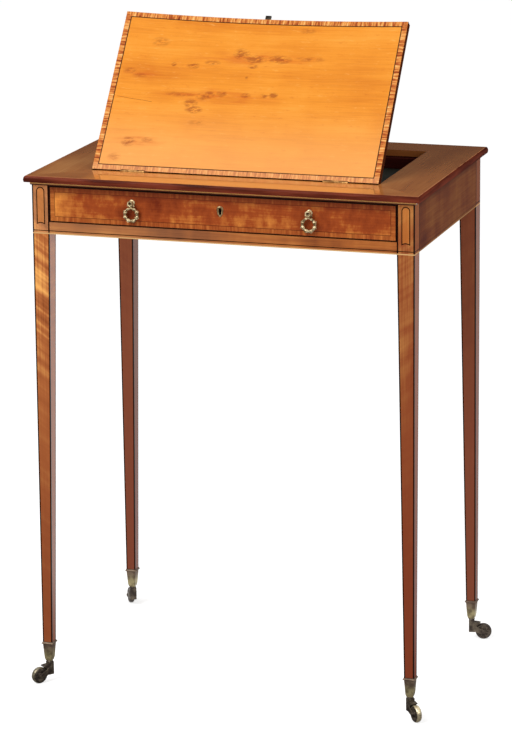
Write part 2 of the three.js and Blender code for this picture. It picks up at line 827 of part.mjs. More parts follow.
const sideFront = frontBackY + fitGap;
for (const [name, s] of [['left', -1], ['right', 1]]) {
  const a = s * drawerHalf;
  const b = s * (drawerHalf - drawerSideThickness);
  const side = block(Math.min(a, b), Math.max(a, b), sideFront, drawerBackY, sideBottom, drawerSideTop);
  const grooveA = s * (drawerHalf - drawerSideThickness - fitGap);
  const grooveB = s * (drawerHalf - drawerSideThickness + grooveDepth + fitGap);
  const groove = block(
    Math.min(grooveA, grooveB),
    Math.max(grooveA, grooveB),
    sideFront - fitGap,
    drawerBackY + fitGap,
    drawerBottomZ - fitGap,
    panelTop + fitGap,
  );
  addPiece(`drawer_side_${name}`, cut(side, groove), finish('oak', oak, 0.7), drawer);
}
const backReach = drawerHalf - drawerSideThickness - fitGap;
addPiece(
  'drawer_back',
  block(
    -backReach,
    backReach,
    drawerBackY - drawerSideThickness,
    drawerBackY,
    panelTop + fitGap,
    drawerSideTop,
  ),
  finish('oak', oak, 0.7),
  drawer,
);
const panelReach = drawerHalf - drawerSideThickness + grooveDepth - fitGap;
addPiece(
  'drawer_bottom',
  block(-panelReach, panelReach, frontBackY - grooveDepth, drawerBackY, drawerBottomZ, panelTop),
  finish('oak', oak, 0.7),
  drawer,
);

// Lock behind the keyhole
const lockHalfWidth = 22;
const lockThickness = 6;
const lockBelow = 14;
const lockAbove = 12;
const lockBottom = keyZ - lockBelow;
const lockTop = keyZ + lockAbove;
const lockHole = rod('y', keyRadius, frontBackY - fitGap, frontBackY + lockThickness / 2, 16);
lockHole.translate(0, 0, keyZ);
addPiece(
  'lock_case',
  cut(
    block(
      -lockHalfWidth,
      lockHalfWidth,
      frontBackY + fitGap,
      frontBackY + fitGap + lockThickness,
      lockBottom,
      lockTop,
    ),
    lockHole,
  ),
  finish('steel', steel, 0.5, 1),
  drawer,
);

// Ring handles: a turned boss with an eye below it, and a ring that swings in the eye
const eyeRadius = 4.2;
const eyeHalfWidth = 1.6;
const eyePlay = 0.6;
const eyeBore = ringWire + eyePlay;
const ringSteps = 36;
const wireSides = 10;
const bossNeckRadius = 2.2;
const bossPlate = 1.7;
const bossButtonBack = 7.2;
const bossProfileShares = { rim: 0.9, shoulder: 0.78, fillet: 0.58, button: 0.93, cap: 0.42 };
for (const [name, s] of [['left', -1], ['right', 1]]) {
  const boss = new THREE.Group();
  boss.position.set(s * handleX, frontFaceY, drawerMiddleZ + handleRise);
  drawer.add(boss);
  const share = bossProfileShares;
  const buttonDepth = bossReach - bossButtonBack;
  const profile = [
    [0, fitGap],
    [bossRadius * share.rim, fitGap],
    [bossRadius, bossPlate / 2],
    [bossRadius * share.shoulder, bossPlate],
    [bossRadius * share.fillet, bossPlate + fitGap],
    [bossNeckRadius, bossPlate + 2 * fitGap],
    [bossNeckRadius, bossButtonBack],
    [bossRadius * share.shoulder, bossButtonBack + fitGap],
    [bossRadius * share.button, bossButtonBack + buttonDepth * share.cap],
    [bossRadius * share.shoulder, bossButtonBack + buttonDepth * share.button],
    [bossRadius * share.cap, bossReach],
    [0, bossReach + fitGap],
  ].map(([r, h]) => new THREE.Vector2(r, h));
  const turned = facingOut(mergeVertices(new THREE.LatheGeometry(profile, 28), 1e-4));
  turned.rotateX(Math.PI);
  const lug = rod('x', eyeRadius, -eyeHalfWidth, eyeHalfWidth, 28);
  lug.translate(0, -eyeReach, -eyeDrop);
  const bore = rod('x', eyeBore, -2 * bossRadius, 2 * bossRadius, 20);
  bore.translate(0, -eyeReach, -eyeDrop);
  addPiece(`handle_boss_${name}`, cut(join(turned, lug), bore), finish('brass', brass, 0.4, 1), boss);

  const ringGroup = new THREE.Group();
  ringGroup.position.set(0, -eyeReach, -eyeDrop);
  boss.add(ringGroup);
  const ring = new THREE.TorusGeometry(ringRadius, ringWire, wireSides, ringSteps);
  ring.rotateX(Math.PI / 2);
  ring.translate(0, 0, -ringRadius);
  addPiece(`handle_ring_${name}`, mergeVertices(ring, 1e-4), finish('brass', brass, 0.4, 1), ringGroup);
}

// Castors: square cup, swivelling fork, axle and wheel
const armInner = wheelHalfWidth + fitGap;
const armOuter = armInner + forkArmThickness;
const crownTop = cupBottomZ - fitGap;
const collarHeight = 2.4;
const collarFoot = crownTop - collarHeight;
const crownRadius = 4.9;
const collarShares = { foot: 0.88, bulge: 0.45, top: 0.84 };
const lipShares = { edgeFoot: 0.3, edgeTop: 0.46, hollow: 0.74, hollowOut: 0.9, topOut: 0.6 };
const wheelRoom = 0.9;             // clearance of the wheel's tread inside the fork
const hubPlateRadius = 3.3;        // round end of each arm, about the axle
const forkEdge = 0.5;              // softened edge of the fork
const armRootHigh = 11.6;          // where the arms leave the neck, above the axle
const armRootLow = 2.4;
const tongueReach = 13.4;          // tongue over the wheel, from the stem's axis
const tongueDrop = 3.2;            // tongue's root below the collar
const tongueFall = 1.2;            // its end below its root
const armShares = { highTurn: 0.5, highRise: 0.5, lowTurn: 0.52, lowRise: 1.15 };
const wheelBore = axleRadius + fitGap;
const hubRadius = 3.7;
const hubStep = 0.7;
const cheekSink = 0.9;
const wheelShares = {
  cheek: 0.7,
  cheekHalf: 0.97,
  rim: 0.88,
  rimHalf: 0.82,
  shoulder: 0.965,
  shoulderHalf: 0.53,
};
const axleHeadStep = 0.9;          // rivet's head beyond the axle's side
const axleHeadHeight = 0.8;
const axleHeadShares = { radius: 0.7, height: 0.8 };

// Side views of the fork, X along the trail and Y up: its neck with the tongue, and an arm
const neckOutline = () => {
  const top = collarFoot + fitGap;
  const rootZ = collarFoot - tongueDrop;
  const endZ = rootZ - tongueFall;
  const shape = new THREE.Shape();
  shape.moveTo(-neckHalf, top);
  shape.lineTo(-neckHalf, neckFootZ);
  shape.lineTo(neckHalf, neckFootZ);
  shape.lineTo(tongueReach, wheelRadius);
  shape.lineTo(tongueReach, endZ);
  shape.quadraticCurveTo((neckHalf + tongueReach) / 2, rootZ, neckHalf, rootZ);
  shape.lineTo(neckHalf, top);
  return shape;
};
const armOutline = () => {
  const share = armShares;
  const shape = new THREE.Shape();
  shape.moveTo(0, wheelRadius + armRootLow);
  shape.quadraticCurveTo(
    castorTrail * share.lowTurn,
    wheelRadius - hubPlateRadius * share.lowRise,
    castorTrail,
    wheelRadius - hubPlateRadius,
  );
  shape.absarc(castorTrail, wheelRadius, hubPlateRadius, -Math.PI / 2, Math.PI / 2, false);
  shape.quadraticCurveTo(
    castorTrail * share.highTurn,
    wheelRadius + armRootHigh * share.highRise,
    neckHalf,
    wheelRadius + armRootHigh,
  );
  shape.lineTo(0, wheelRadius + armRootHigh);
  return shape;
};
const acrossFork = (shape, halfWidth) => {
  const g = new THREE.ExtrudeGeometry(shape, {
    depth: 2 * (halfWidth - forkEdge),
    bevelEnabled: true,
    bevelThickness: forkEdge,
    bevelSize: forkEdge,
    bevelOffset: -forkEdge,
    bevelSegments: 2,
    curveSegments: 6,
  });
  g.rotateX(Math.PI / 2);
  g.translate(0, halfWidth - forkEdge, 0);
  return g;
};
for (const [place, [sx, sy]] of Object.entries(corners)) {
  const [cx, cy] = footCentre(sx, sy);
  const lipSide = legFootSquare + 2 * cupLip;
  const ringAt = (z, side) => ({ z, ...centred(sx, sy, side) });
  const cupOuter = facingOut(rectangleStack([
    ringAt(cupBottomZ, cupFootSquare),
    ringAt(cupBottomZ + cupChamfer, cupWaistSquare),
    ringAt(legFootZ, legFootSquare),
    ringAt(legFootZ + cupLipHeight * lipShares.edgeFoot, lipSide),
    ringAt(legFootZ + cupLipHeight * lipShares.edgeTop, lipSide),
    ringAt(legFootZ + cupLipHeight * lipShares.hollow, legFootSquare + cupLip * lipShares.hollowOut),
    ringAt(cupTopZ, legFootSquare + cupLip * lipShares.topOut),
  ]));
  const hollowFrom = cupBottomZ + cupFloor;
  const hollowSide = (z) => tenonSideAt(z) + 2 * fitGap;
  const hollow = facingOut(rectangleStack([
    ringAt(hollowFrom, hollowSide(hollowFrom)),
    ringAt(legFootZ, hollowSide(legFootZ)),
    ringAt(cupTopZ + cutOverrun, hollowSide(legFootZ)),
  ]));
  const stemHole = rod('z', stemRadius + fitGap, cupBottomZ - cupFloor, hollowFrom - cupWall / 2, 20);
  stemHole.translate(cx, cy, 0);
  addPiece(`castor_cup_${place}`, cut(cupOuter, hollow, stemHole), finish('brass', brass, 0.5, 1));

  const swivel = new THREE.Group();
  swivel.position.set(cx, cy, 0);
  swivel.rotation.z = THREE.MathUtils.degToRad(castorTurns[place]);
  root.add(swivel);
  const stemTop = hollowFrom - cupWall / 2 - fitGap;
  const crownProfile = [
    [0, collarFoot],
    [crownRadius * collarShares.foot, collarFoot],
    [crownRadius, collarFoot + collarHeight * collarShares.bulge],
    [crownRadius * collarShares.top, crownTop],
    [stemRadius, crownTop],
    [stemRadius, stemTop],
    [0, stemTop],
  ].map(([r, z]) => new THREE.Vector2(r, z));
  const crown = new THREE.LatheGeometry(crownProfile, 20);
  crown.rotateX(Math.PI / 2);
  const roomRadius = wheelRadius + wheelRoom;
  const wheelSpace = rod('y', roomRadius, -armInner, armInner, 32);
  wheelSpace.translate(castorTrail, 0, wheelRadius);
  const roundWheel = rod('y', roomRadius, -armOuter - cutOverrun, armOuter + cutOverrun, 32);
  roundWheel.translate(castorTrail, 0, wheelRadius);
  const axleHole = rod('y', axleRadius + fitGap, -armOuter - cutOverrun, armOuter + cutOverrun, 20);
  axleHole.translate(castorTrail, 0, wheelRadius);
  const fork = toGeometry(
    toSolid(acrossFork(neckOutline(), armInner + fitGap)).subtract(toSolid(roundWheel))
      .add(toSolid(acrossFork(armOutline(), armOuter)).subtract(toSolid(wheelSpace)))
      .add(toSolid(facingOut(mergeVertices(crown, 1e-4)))).subtract(toSolid(axleHole)),
  );
  addPiece(`castor_fork_${place}`, fork, finish('brass', brass, 0.5, 1), swivel);

  const axle = new THREE.Group();
  axle.position.set(castorTrail, 0, wheelRadius);
  swivel.add(axle);
  const headRadius = axleRadius + axleHeadStep;
  const headOut = armOuter + fitGap;
  const headTurn = axleHeadHeight * axleHeadShares.height;
  const axleProfile = [
    [0, -headOut - axleHeadHeight],
    [headRadius * axleHeadShares.radius, -headOut - headTurn],
    [headRadius, -headOut],
    [axleRadius, -headOut],
    [axleRadius, headOut],
    [headRadius, headOut],
    [headRadius * axleHeadShares.radius, headOut + headTurn],
    [0, headOut + axleHeadHeight],
  ].map(([r, h]) => new THREE.Vector2(r, h));
  const axlePiece = facingOut(mergeVertices(new THREE.LatheGeometry(axleProfile, 16), 1e-4));
  addPiece(`castor_axle_${place}`, axlePiece, finish('brass', brass, 0.5, 1), axle);

  const cheek = [
    [wheelBore, wheelHalfWidth],
    [hubRadius, wheelHalfWidth],
    [hubRadius + hubStep, wheelHalfWidth - cheekSink],
    [wheelRadius * wheelShares.cheek, wheelHalfWidth * wheelShares.cheekHalf],
    [wheelRadius * wheelShares.rim, wheelHalfWidth * wheelShares.rimHalf],
    [wheelRadius * wheelShares.shoulder, wheelHalfWidth * wheelShares.shoulderHalf],
  ];
  const mirrored = cheek.map(([r, h]) => [r, -h]).reverse();
  const wheelProfile = [...cheek, [wheelRadius, 0], ...mirrored, cheek[0]]
    .map(([r, h]) => new THREE.Vector2(r, h));
  const wheelPiece = facingOut(mergeVertices(new THREE.LatheGeometry(wheelProfile, 32), 1e-4));
  addPiece(`castor_wheel_${place}`, wheelPiece, finish('brass', brass, 0.5, 1), axle);
}

// The frame's origin is the middle of the whole object's box, on the floor
root.updateMatrixWorld(true);
const extent = new THREE.Box3().setFromObject(root, true);
const middle = extent.getCenter(new THREE.Vector3());
root.position.set(-middle.x, -middle.y, -extent.min.z);
root.updateMatrixWorld(true);

export default root;
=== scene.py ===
# %% [markdown]
# # A reading table, dressed
# The solids of a small late Georgian reading table come in with their real sizes.
# This file gives them their looks: veneers with inlaid lines, old polish, worn brass,
# and the ornament that is too fine for the solids. Every pattern is worked out from the
# object's own coordinates, so it stays on the wood when a drawer or the slope moves.

import json
import math

import bmesh
import bpy
import numpy as np
from mathutils import Matrix, Vector


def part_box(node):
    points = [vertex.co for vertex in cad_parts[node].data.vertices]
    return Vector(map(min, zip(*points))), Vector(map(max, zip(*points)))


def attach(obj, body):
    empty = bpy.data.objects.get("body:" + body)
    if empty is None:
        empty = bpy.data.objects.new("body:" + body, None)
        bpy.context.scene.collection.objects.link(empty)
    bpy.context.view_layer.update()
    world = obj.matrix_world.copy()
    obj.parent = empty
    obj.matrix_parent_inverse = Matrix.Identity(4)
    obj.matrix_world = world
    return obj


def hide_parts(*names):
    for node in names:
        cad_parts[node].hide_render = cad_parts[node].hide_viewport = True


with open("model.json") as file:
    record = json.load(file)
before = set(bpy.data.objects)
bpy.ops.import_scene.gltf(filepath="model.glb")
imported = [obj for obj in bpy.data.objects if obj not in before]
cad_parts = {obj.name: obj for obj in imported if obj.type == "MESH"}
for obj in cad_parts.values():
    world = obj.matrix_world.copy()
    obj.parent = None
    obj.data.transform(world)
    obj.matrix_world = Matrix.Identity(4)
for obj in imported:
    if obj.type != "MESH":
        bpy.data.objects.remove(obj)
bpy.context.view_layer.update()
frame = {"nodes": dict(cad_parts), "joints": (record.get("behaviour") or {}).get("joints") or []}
nodes = frame["nodes"]
joints = {joint["name"]: joint for joint in frame["joints"]}
MM = 0.001

# %% [markdown]
# ## Places on the table
# The driving places are read from the solids, so the inlay always lands on the wood.
# The legs stand in a rectangle; its middle is the middle of every symmetrical pattern.

# %% Read the main places
front_left_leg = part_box("leg_front_left")
back_right_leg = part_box("leg_back_right")
mid_x = (front_left_leg[0].x + back_right_leg[1].x) / 2
mid_y = (front_left_leg[0].y + back_right_leg[1].y) / 2
half_width = (back_right_leg[1].x - front_left_leg[0].x) / 2
half_depth = (back_right_leg[1].y - front_left_leg[0].y) / 2
top_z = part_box("top_rail_front")[1].z
frieze_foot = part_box("drawer_rail")[0].z
fit_gap = 0.3 * MM
leg_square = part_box("apron_left")[0].y - front_left_leg[0].y - fit_gap
cup_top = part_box("castor_cup_front_left")[1].z
leg_foot_z = cup_top
leg_foot_square = 14.7 * MM
slope_joint = joints["slope_hinge"]
hinge_y, hinge_z = slope_joint["pos_m"][1:]
raised = math.radians(-slope_joint["range_deg"][0])
print("middle", round(mid_x, 4), round(mid_y, 4), "slope raised", round(math.degrees(raised), 1))

# %% [markdown]
# ## Camera
# The photograph was taken from the front, a little to the right and above the top, with a
# long lens. The place and turn below came from fitting a camera to the corners of the top,
# the legs and the slope. The picture's principal point lies above its middle, as with a
# lens that is raised, so the camera has a small vertical shift.

# %% Place the camera
camera_place = Vector((mid_x + 1.4038, mid_y - 4.3621, 1.6291))
camera_azimuth = math.radians(-17.93)
camera_elevation = math.radians(12.41)
camera_roll = math.radians(-0.53)
lens_pixels = 3239
long_side_pixels = 754
shift_up_pixels = 125

ahead = Vector((
    math.sin(camera_azimuth) * math.cos(camera_elevation),
    math.cos(camera_azimuth) * math.cos(camera_elevation),
    -math.sin(camera_elevation),
))
level_right = Vector((math.cos(camera_azimuth), -math.sin(camera_azimuth), 0))
level_up = level_right.cross(ahead)
right = level_right * math.cos(camera_roll) + level_up * math.sin(camera_roll)
up = level_up * math.cos(camera_roll) - level_right * math.sin(camera_roll)

camera_data = bpy.data.cameras.new("camera")
camera = bpy.data.objects.new("camera", camera_data)
bpy.context.scene.collection.objects.link(camera)
turn = Matrix((right, up, -ahead)).transposed().to_4x4()
camera.matrix_world = Matrix.Translation(camera_place) @ turn
camera_data.sensor_width = 36
camera_data.lens = lens_pixels / long_side_pixels * camera_data.sensor_width
camera_data.shift_y = -shift_up_pixels / long_side_pixels
camera_data.clip_end = 60
bpy.context.scene.camera = camera
bpy.context.scene.view_settings.view_transform = "Standard"
print("lens", round(camera_data.lens, 1), "mm")

# %% [markdown]
# ## A small language for materials
# A material is a graph of nodes. Writing each link by hand hides the idea, so one class
# wraps a socket: `a + b`, `a * b` or `a < b` adds the Math node that does it. Another holds
# the material, and its one method `node` makes any other node.

# %% Value: a number or colour that changes over a surface
class Value:
    """A socket. With the operators + - * / < > it writes Math nodes."""

    def __init__(self, finish, socket):
        self.finish = finish
        self.socket = socket

    def math(self, operation, *others, swap=False):
        """One Math node: operation(self, others...), or operation(other, self) when swapped."""
        values = [self, *others]
        if swap:
            values = values[::-1]
        inputs = {i: v for i, v in enumerate(values)}
        return self.finish.node("ShaderNodeMath", inputs, {"operation": operation})

    def __add__(self, other):
        return self.math("ADD", other)

    __radd__ = __add__

    def __sub__(self, other):
        return self.math("SUBTRACT", other)

    def __rsub__(self, other):
        return self.math("SUBTRACT", other, swap=True)

    def __mul__(self, other):
        return self.math("MULTIPLY", other)

    __rmul__ = __mul__

    def __truediv__(self, other):
        return self.math("DIVIDE", other)

    def __lt__(self, other):
        return self.math("LESS_THAN", other)

    def __gt__(self, other):
        return self.math("GREATER_THAN", other)

    def __abs__(self):
        return self.math("ABSOLUTE")

    def least(self, other):
        return self.math("MINIMUM", other)

    def most(self, other):
        return self.math("MAXIMUM", other)

    def cosine(self):
        return self.math("COSINE")

    def sine(self):
        return self.math("SINE")

    def ramp(self, low, high):
        """0 below low, 1 above high, smooth between them."""
        return self.finish.node(
            "ShaderNodeMapRange",
            {"Value": self, "From Min": low, "From Max": high},
            {"interpolation_type": "SMOOTHSTEP", "clamp": True},
        )


# %% Finish: a material under construction
class Finish:
    """A material with its nodes. Object coordinates are ready as x, y and z, in metres."""

    def __init__(self, name):
        self.material = bpy.data.materials.new(name)
        self.material.use_nodes = True
        self.tree = self.material.node_tree
        self.tree.nodes.clear()
        place = self.node("ShaderNodeTexCoord", out="Object")
        split = self.node("ShaderNodeSeparateXYZ", {"Vector": place})
        outputs = split.socket.node.outputs
        self.x, self.y, self.z = (Value(self, outputs[i]) for i in range(3))

    def node(self, kind, inputs=None, settings=None, out=0):
        """Makes any node: its settings first, then the values or links of its sockets."""
        made = self.tree.nodes.new(kind)
        for key, value in (settings or {}).items():
            if key == "stops":
                self.set_stops(made.color_ramp, value)
            else:
                setattr(made, key, value)
        for key, value in (inputs or {}).items():
            if isinstance(value, Value):
                self.tree.links.new(value.socket, made.inputs[key])
            else:
                made.inputs[key].default_value = value
        return Value(self, made.outputs[out]) if made.outputs else made

    @staticmethod
    def set_stops(ramp, stops):
        """stops: (place, colour) pairs from low to high."""
        while len(ramp.elements) < len(stops):
            ramp.elements.new(1)
        for element, (place, colour) in zip(ramp.elements, stops):
            element.position = place
            element.color = colour

    def point(self, x, y, z):
        return self.node("ShaderNodeCombineXYZ", {"X": x, "Y": y, "Z": z})

    def noise(self, vector, scale=1, detail=3, roughness=0.55):
        inputs = {"Vector": vector, "Scale": scale, "Detail": detail, "Roughness": roughness}
        return self.node("ShaderNodeTexNoise", inputs)

    def colours(self, value, stops):
        return self.node("ShaderNodeValToRGB", {"Fac": value}, {"stops": stops})

    def mix(self, low, high, share, blend="MIX"):
        """Colour low where share is 0, high where it is 1."""
        inputs = {0: share, 6: low, 7: high}
        settings = {"data_type": "RGBA", "blend_type": blend, "clamp_factor": True}
        return self.node("ShaderNodeMix", inputs, settings, out=2)

    def bump(self, height, strength, distance):
        inputs = {"Height": height, "Strength": strength, "Distance": distance}
        return self.node("ShaderNodeBump", inputs, out="Normal")

    def surface(self, **sockets):
        """The shader at the end; underscores in a name stand for blanks."""
        inputs = {key.replace("_", " "): value for key, value in sockets.items()}
        shader = self.node("ShaderNodeBsdfPrincipled", inputs)
        self.node("ShaderNodeOutputMaterial", {"Surface": shader})
        return self.material


# %% Colours and masks
def srgb(red, green, blue):
    """The colour (0 to 255, as a screen shows it) in the linear values that shaders use."""
    def linear(c):
        share = c / 255
        return share / 12.92 if share <= 0.04045 else ((share + 0.055) / 1.055) ** 2.4
    return (linear(red), linear(green), linear(blue), 1)


def dim(colour, share):
    """The colour with its red, green and blue multiplied by share."""
    return tuple(c * share for c in colour[:3]) + (1,)


def band(value, low, high, soft=0.15 * MM):
    """1 between low and high, 0 outside, with edges as soft as a glue line."""
    return value.ramp(low - soft, low + soft) * (1 - value.ramp(high - soft, high + soft))


# %% [markdown]
# ## Wood
# Veneer shows three things at once: fine pores drawn out along the grain, broader bands
# where growth rings were cut through, and a figure that runs across the grain like ripples
# in silk. Each is a noise stretched along one direction; together they choose a place
# between the wood's dark and light colours.

# %% Grain and figure
def grain(finish, along, across, depth, figure=0.35, figure_scale=42, seed=0.0):
    """Brightness 0..1 of the wood: pores + bands + figure, each a stretched noise."""
    shifted = along + seed
    pores = finish.noise(finish.point(shifted * 14, across * 420, depth * 420), detail=2)
    bands = finish.noise(finish.point(shifted * 2.2, across * 34, depth * 34), detail=4)
    ripple = finish.noise(
        finish.point(shifted * figure_scale, across * 9 + bands, depth * 9), detail=2)
    patches = finish.noise(finish.point(shifted * 7, across * 9, depth * 9), detail=2)
    total = (pores - 0.5) * 0.35 + (bands - 0.5) * 0.7 + (patches - 0.5) * 0.6
    return total + (ripple - 0.5) * figure + 0.5, pores


def polish_bump(finish, pores):
    """Old polish follows the pores a little and has long shallow waves."""
    waves = finish.noise(finish.point(finish.x, finish.y, finish.z), scale=25, detail=2)
    return finish.bump(pores * 0.3 + waves, 0.12, 0.4 * MM)


# %% [markdown]
# ## The slope
# The leaf is golden satinwood with its grain from side to side, a dark string near its
# edge, and a crossband outside the string: short pieces of veneer laid across the edge.
# The distance to the nearest edge decides which of the three a point lies in. The brown
# marks are old ink that crept along the pores.

# %% Finish of the slope
leaf_low, leaf_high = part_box("slope_leaf")
leaf_half_width = (leaf_high.x - leaf_low.x) / 2
leaf_front = 1.6 * MM
leaf_length = 257.4 * MM
crossband_width = 7.4 * MM
string_width = 1.4 * MM
veneer_thickness = 0.6 * MM
leaf_thickness = 11 * MM
warp_degrees = 2.03

# Each mark: its place across and up the leaf, half its length and height, its depth.
ink_marks = [
    (-124, 177, 5, 4, 1.0), (-95, 177, 12, 6, 0.8), (-67, 183, 14, 5, 0.6),
    (-27, 200, 14, 10, 0.9), (-5, 192, 20, 8, 1.0), (32, 193, 20, 8, 0.9), (77, 195, 26, 5, 0.5),
    (-6, 180, 9, 5, 0.8), (-12, 161, 3, 3, 0.9), (-151, 213, 16, 9, 0.45),
    (-188, 163, 12, 6, 0.5), (-172, 156, 14, 5, 0.45), (-105, 129, 26, 5, 0.5),
    (-72, 127, 11, 7, 0.8), (-62, 130, 10, 7, 0.9), (-44, 133, 9, 6, 0.8), (-8, 132, 9, 5, 0.7),
    (19, 132, 8, 5, 0.8), (33, 134, 8, 6, 1.0), (-87, 115, 12, 8, 1.0), (-80, 105, 15, 7, 0.9),
    (-167, 48, 12, 9, 0.8), (-139, 52, 10, 5, 0.5), (-183, 22, 12, 8, 0.45),
    (65, 242, 14, 6, 0.45), (-71, 84, 16, 5, 0.35),
]
ink_clouds = [(-10, 192, 110, 15), (-50, 128, 105, 15), (-170, 160, 34, 9), (-150, 50, 42, 10)]
crack_from = (-198, 120)
crack_to = (-145, 114)


def slope_places(finish):
    """x across the leaf, s up the leaf, t square to it, in metres from the hinge's middle."""
    dy, dz = finish.y - hinge_y, finish.z - hinge_z
    x = finish.x - mid_x
    share = x / leaf_half_width
    angle = share * share * math.radians(warp_degrees) + raised
    cosine, sine = angle.cosine(), angle.sine()
    return x, dy * cosine + dz * sine, dz * cosine - dy * sine


def ink(finish, x, s):
    """Soft spots, broken up by a slanting noise, as strokes of a pen lie."""
    slanted = (x - s * 1.1) * 95
    broken = finish.noise(finish.point(slanted, s * 190, 0.0), detail=5, roughness=0.7)
    total = None
    for place_x, place_s, long, tall, depth in ink_marks:
        dx = (x - place_x * MM) / (long * MM)
        ds = (s - place_s * MM) / (tall * MM)
        spot = (1 - (dx * dx + ds * ds)).most(0) * depth
        total = spot if total is None else total.most(spot)
    return (total * broken.ramp(0.38, 0.6) * 1.6).least(1)


def clouds_of_ink(finish, x, s):
    """Broad faint brown where the ink was wiped along the grain."""
    streaks = finish.noise(finish.point(x * 22, s * 150, 2.0), detail=4, roughness=0.6)
    total = None
    for place_x, place_s, long, tall in ink_clouds:
        dx = (x - place_x * MM) / (long * MM)
        ds = (s - place_s * MM) / (tall * MM)
        cloud = (1 - (dx * dx + ds * ds)).most(0)
        total = cloud if total is None else total.most(cloud)
    return total * streaks.ramp(0.36, 0.68)


def crack(finish, x, s):
    """A thin dark line from crack_from to crack_to, slightly wavy."""
    (x0, s0), (x1, s1) = crack_from, crack_to
    share = (x - x0 * MM) / ((x1 - x0) * MM)
    wave = (finish.noise(finish.point(x * 60, 0.0, 0.0)) - 0.5) * (2 * MM)
    line = share * ((s1 - s0) * MM) + s0 * MM + wave
    return band(s - line, -0.2 * MM, 0.2 * MM, 0.12 * MM) * (share > 0) * (share < 1)


def make_slope_finish():
    finish = Finish("slope_veneer")
    x, s, t = slope_places(finish)
    wood, pores = grain(finish, x, s, t, figure=0.14, figure_scale=30)
    gold = finish.colours(wood, [
        (0.1, srgb(204, 108, 26)), (0.5, srgb(236, 147, 46)), (0.9, srgb(250, 172, 72)),
    ])
    flecks = finish.noise(finish.point(x * 55, s * 230, 4.0), detail=4, roughness=0.7)
    gold = finish.mix(gold, srgb(206, 98, 26), flecks.ramp(0.56, 0.76) * 0.5)
    gold = finish.mix(gold, srgb(252, 190, 104), (1 - flecks).ramp(0.56, 0.76) * 0.4)
    gold = finish.mix(gold, srgb(252, 182, 112), (1 - s.ramp(0.01, 0.13)) * 0.5)
    gold = finish.mix(gold, srgb(200, 84, 26), clouds_of_ink(finish, x, s) * 0.55)
    gold = finish.mix(gold, srgb(142, 52, 22), ink(finish, x, s) * 0.62)
    gold = finish.mix(gold, srgb(95, 38, 14), crack(finish, x, s))

    side = leaf_half_width - abs(x)
    ends = (s - leaf_front).least(leaf_front + leaf_length - s)
    edge = side.least(ends)
    runs_up = side < ends
    along_edge = s * runs_up + x * (1 - runs_up)
    stripes = finish.noise(finish.point(along_edge * 330, edge * 45, 0.0), detail=3)
    blocks = finish.noise(finish.point(along_edge * 70, 0.0, 1.0), detail=2)
    cross = finish.colours((stripes - 0.5) * 1.9 + (blocks - 0.5) * 0.9 + 0.5, [
        (0.08, srgb(112, 36, 12)), (0.34, srgb(176, 84, 34)), (0.58, srgb(226, 144, 68)),
        (0.9, srgb(250, 200, 124)),
    ])
    cross = finish.mix(cross, srgb(238, 172, 118), (1 - s.ramp(0.008, 0.016)) * 0.45)
    outside = edge < crossband_width
    string = band(edge, crossband_width, crossband_width + string_width)
    colour = finish.mix(gold, cross, outside)
    colour = finish.mix(colour, srgb(46, 24, 10), string)

    rim = (edge < 0.05 * MM).most(t < -veneer_thickness)
    under = t < -leaf_thickness
    wood_side = finish.mix(srgb(58, 26, 16), srgb(96, 46, 24), wood)
    plain = finish.mix(srgb(120, 74, 44), srgb(168, 112, 70), wood)
    colour = finish.mix(colour, wood_side, rim)
    colour = finish.mix(colour, plain, under)
    rough = pores * 0.08 + 0.27 + ink(finish, x, s) * 0.15
    return finish.surface(
        Base_Color=colour, Roughness=rough, Specular_IOR_Level=0.0,
        Coat_Weight=(1 - rim) * 0.25, Coat_Roughness=0.25, Normal=polish_bump(finish, pores))


# %% [markdown]
# ## The top
# The border round the slope is browner and darker than the slope, because it was never
# covered and its polish has aged in the light. Its moulded edge is a dark red-brown
# wood with a bright worn arris, painted paler also as its highlight. The polish is hard and
# mirrors the slope's foot; where it does, the front rail also has a painted golden reflection.

# %% Finish of the top's rails
moulding_width = 3.1 * MM
# The worn arris, painted paler also as its highlight.
wear_and_highlight_band = (2.4 * MM, 3.6 * MM)
# How far across x the front rail's painted reflection of the slope reaches.
painted_reflection_reach = (0.185, 0.21)
top_low, top_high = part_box("top_rail_front")
top_half_width = (top_high.x - top_low.x) / 2
top_half_depth = (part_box("top_rail_back")[1].y - top_low.y) / 2


def make_top_finish(name, along_x):
    finish = Finish(name)
    x, y, z = finish.x - mid_x, finish.y - mid_y, finish.z - top_z
    along, across = (x, y) if along_x else (y, x)
    wood, pores = grain(finish, along, across, z, figure=0.12, seed=0.3 if along_x else 1.7)
    brown = finish.colours(wood, [
        (0.15, srgb(148, 84, 42)), (0.5, srgb(186, 116, 60)), (0.85, srgb(214, 148, 84)),
    ])
    back = y.ramp(-0.1, top_half_depth)
    brown = finish.mix(brown, srgb(144, 80, 36), back * 0.7)
    # Painted reflection: the front rail is painted golden where it mirrors the slope.
    painted_reflection = (1 - abs(x).ramp(*painted_reflection_reach)) * (y < 0)
    brown = finish.mix(brown, srgb(240, 154, 70), painted_reflection * 0.5)
    edge = (top_half_width - abs(x)).least(top_half_depth - abs(y))
    streaks = finish.noise(finish.point(along * 12, across * 12, z * 160), detail=3)
    moulded = finish.mix(srgb(66, 24, 16), srgb(122, 54, 36), streaks.ramp(0.25, 0.75))
    scratches = finish.noise(finish.point(x * 40, y * 40, z * 300), detail=4)
    # Paler arris where it is worn, and also a painted highlight.
    wear_and_highlight = band(edge, *wear_and_highlight_band, 0.4 * MM) * scratches.ramp(0.3, 0.52)
    colour = finish.mix(brown, moulded, edge < moulding_width)
    colour = finish.mix(colour, srgb(206, 138, 92), wear_and_highlight * 0.85)
    flat = edge > moulding_width
    rough = pores * 0.06 + 0.42 - flat * 0.28
    coat = flat * 0.92 + 0.02
    return finish.surface(
        Base_Color=colour, Roughness=rough, Specular_IOR_Level=0.0, Coat_Weight=coat,
        Coat_IOR=1.8, Coat_Roughness=0.05, Normal=polish_bump(finish, pores))


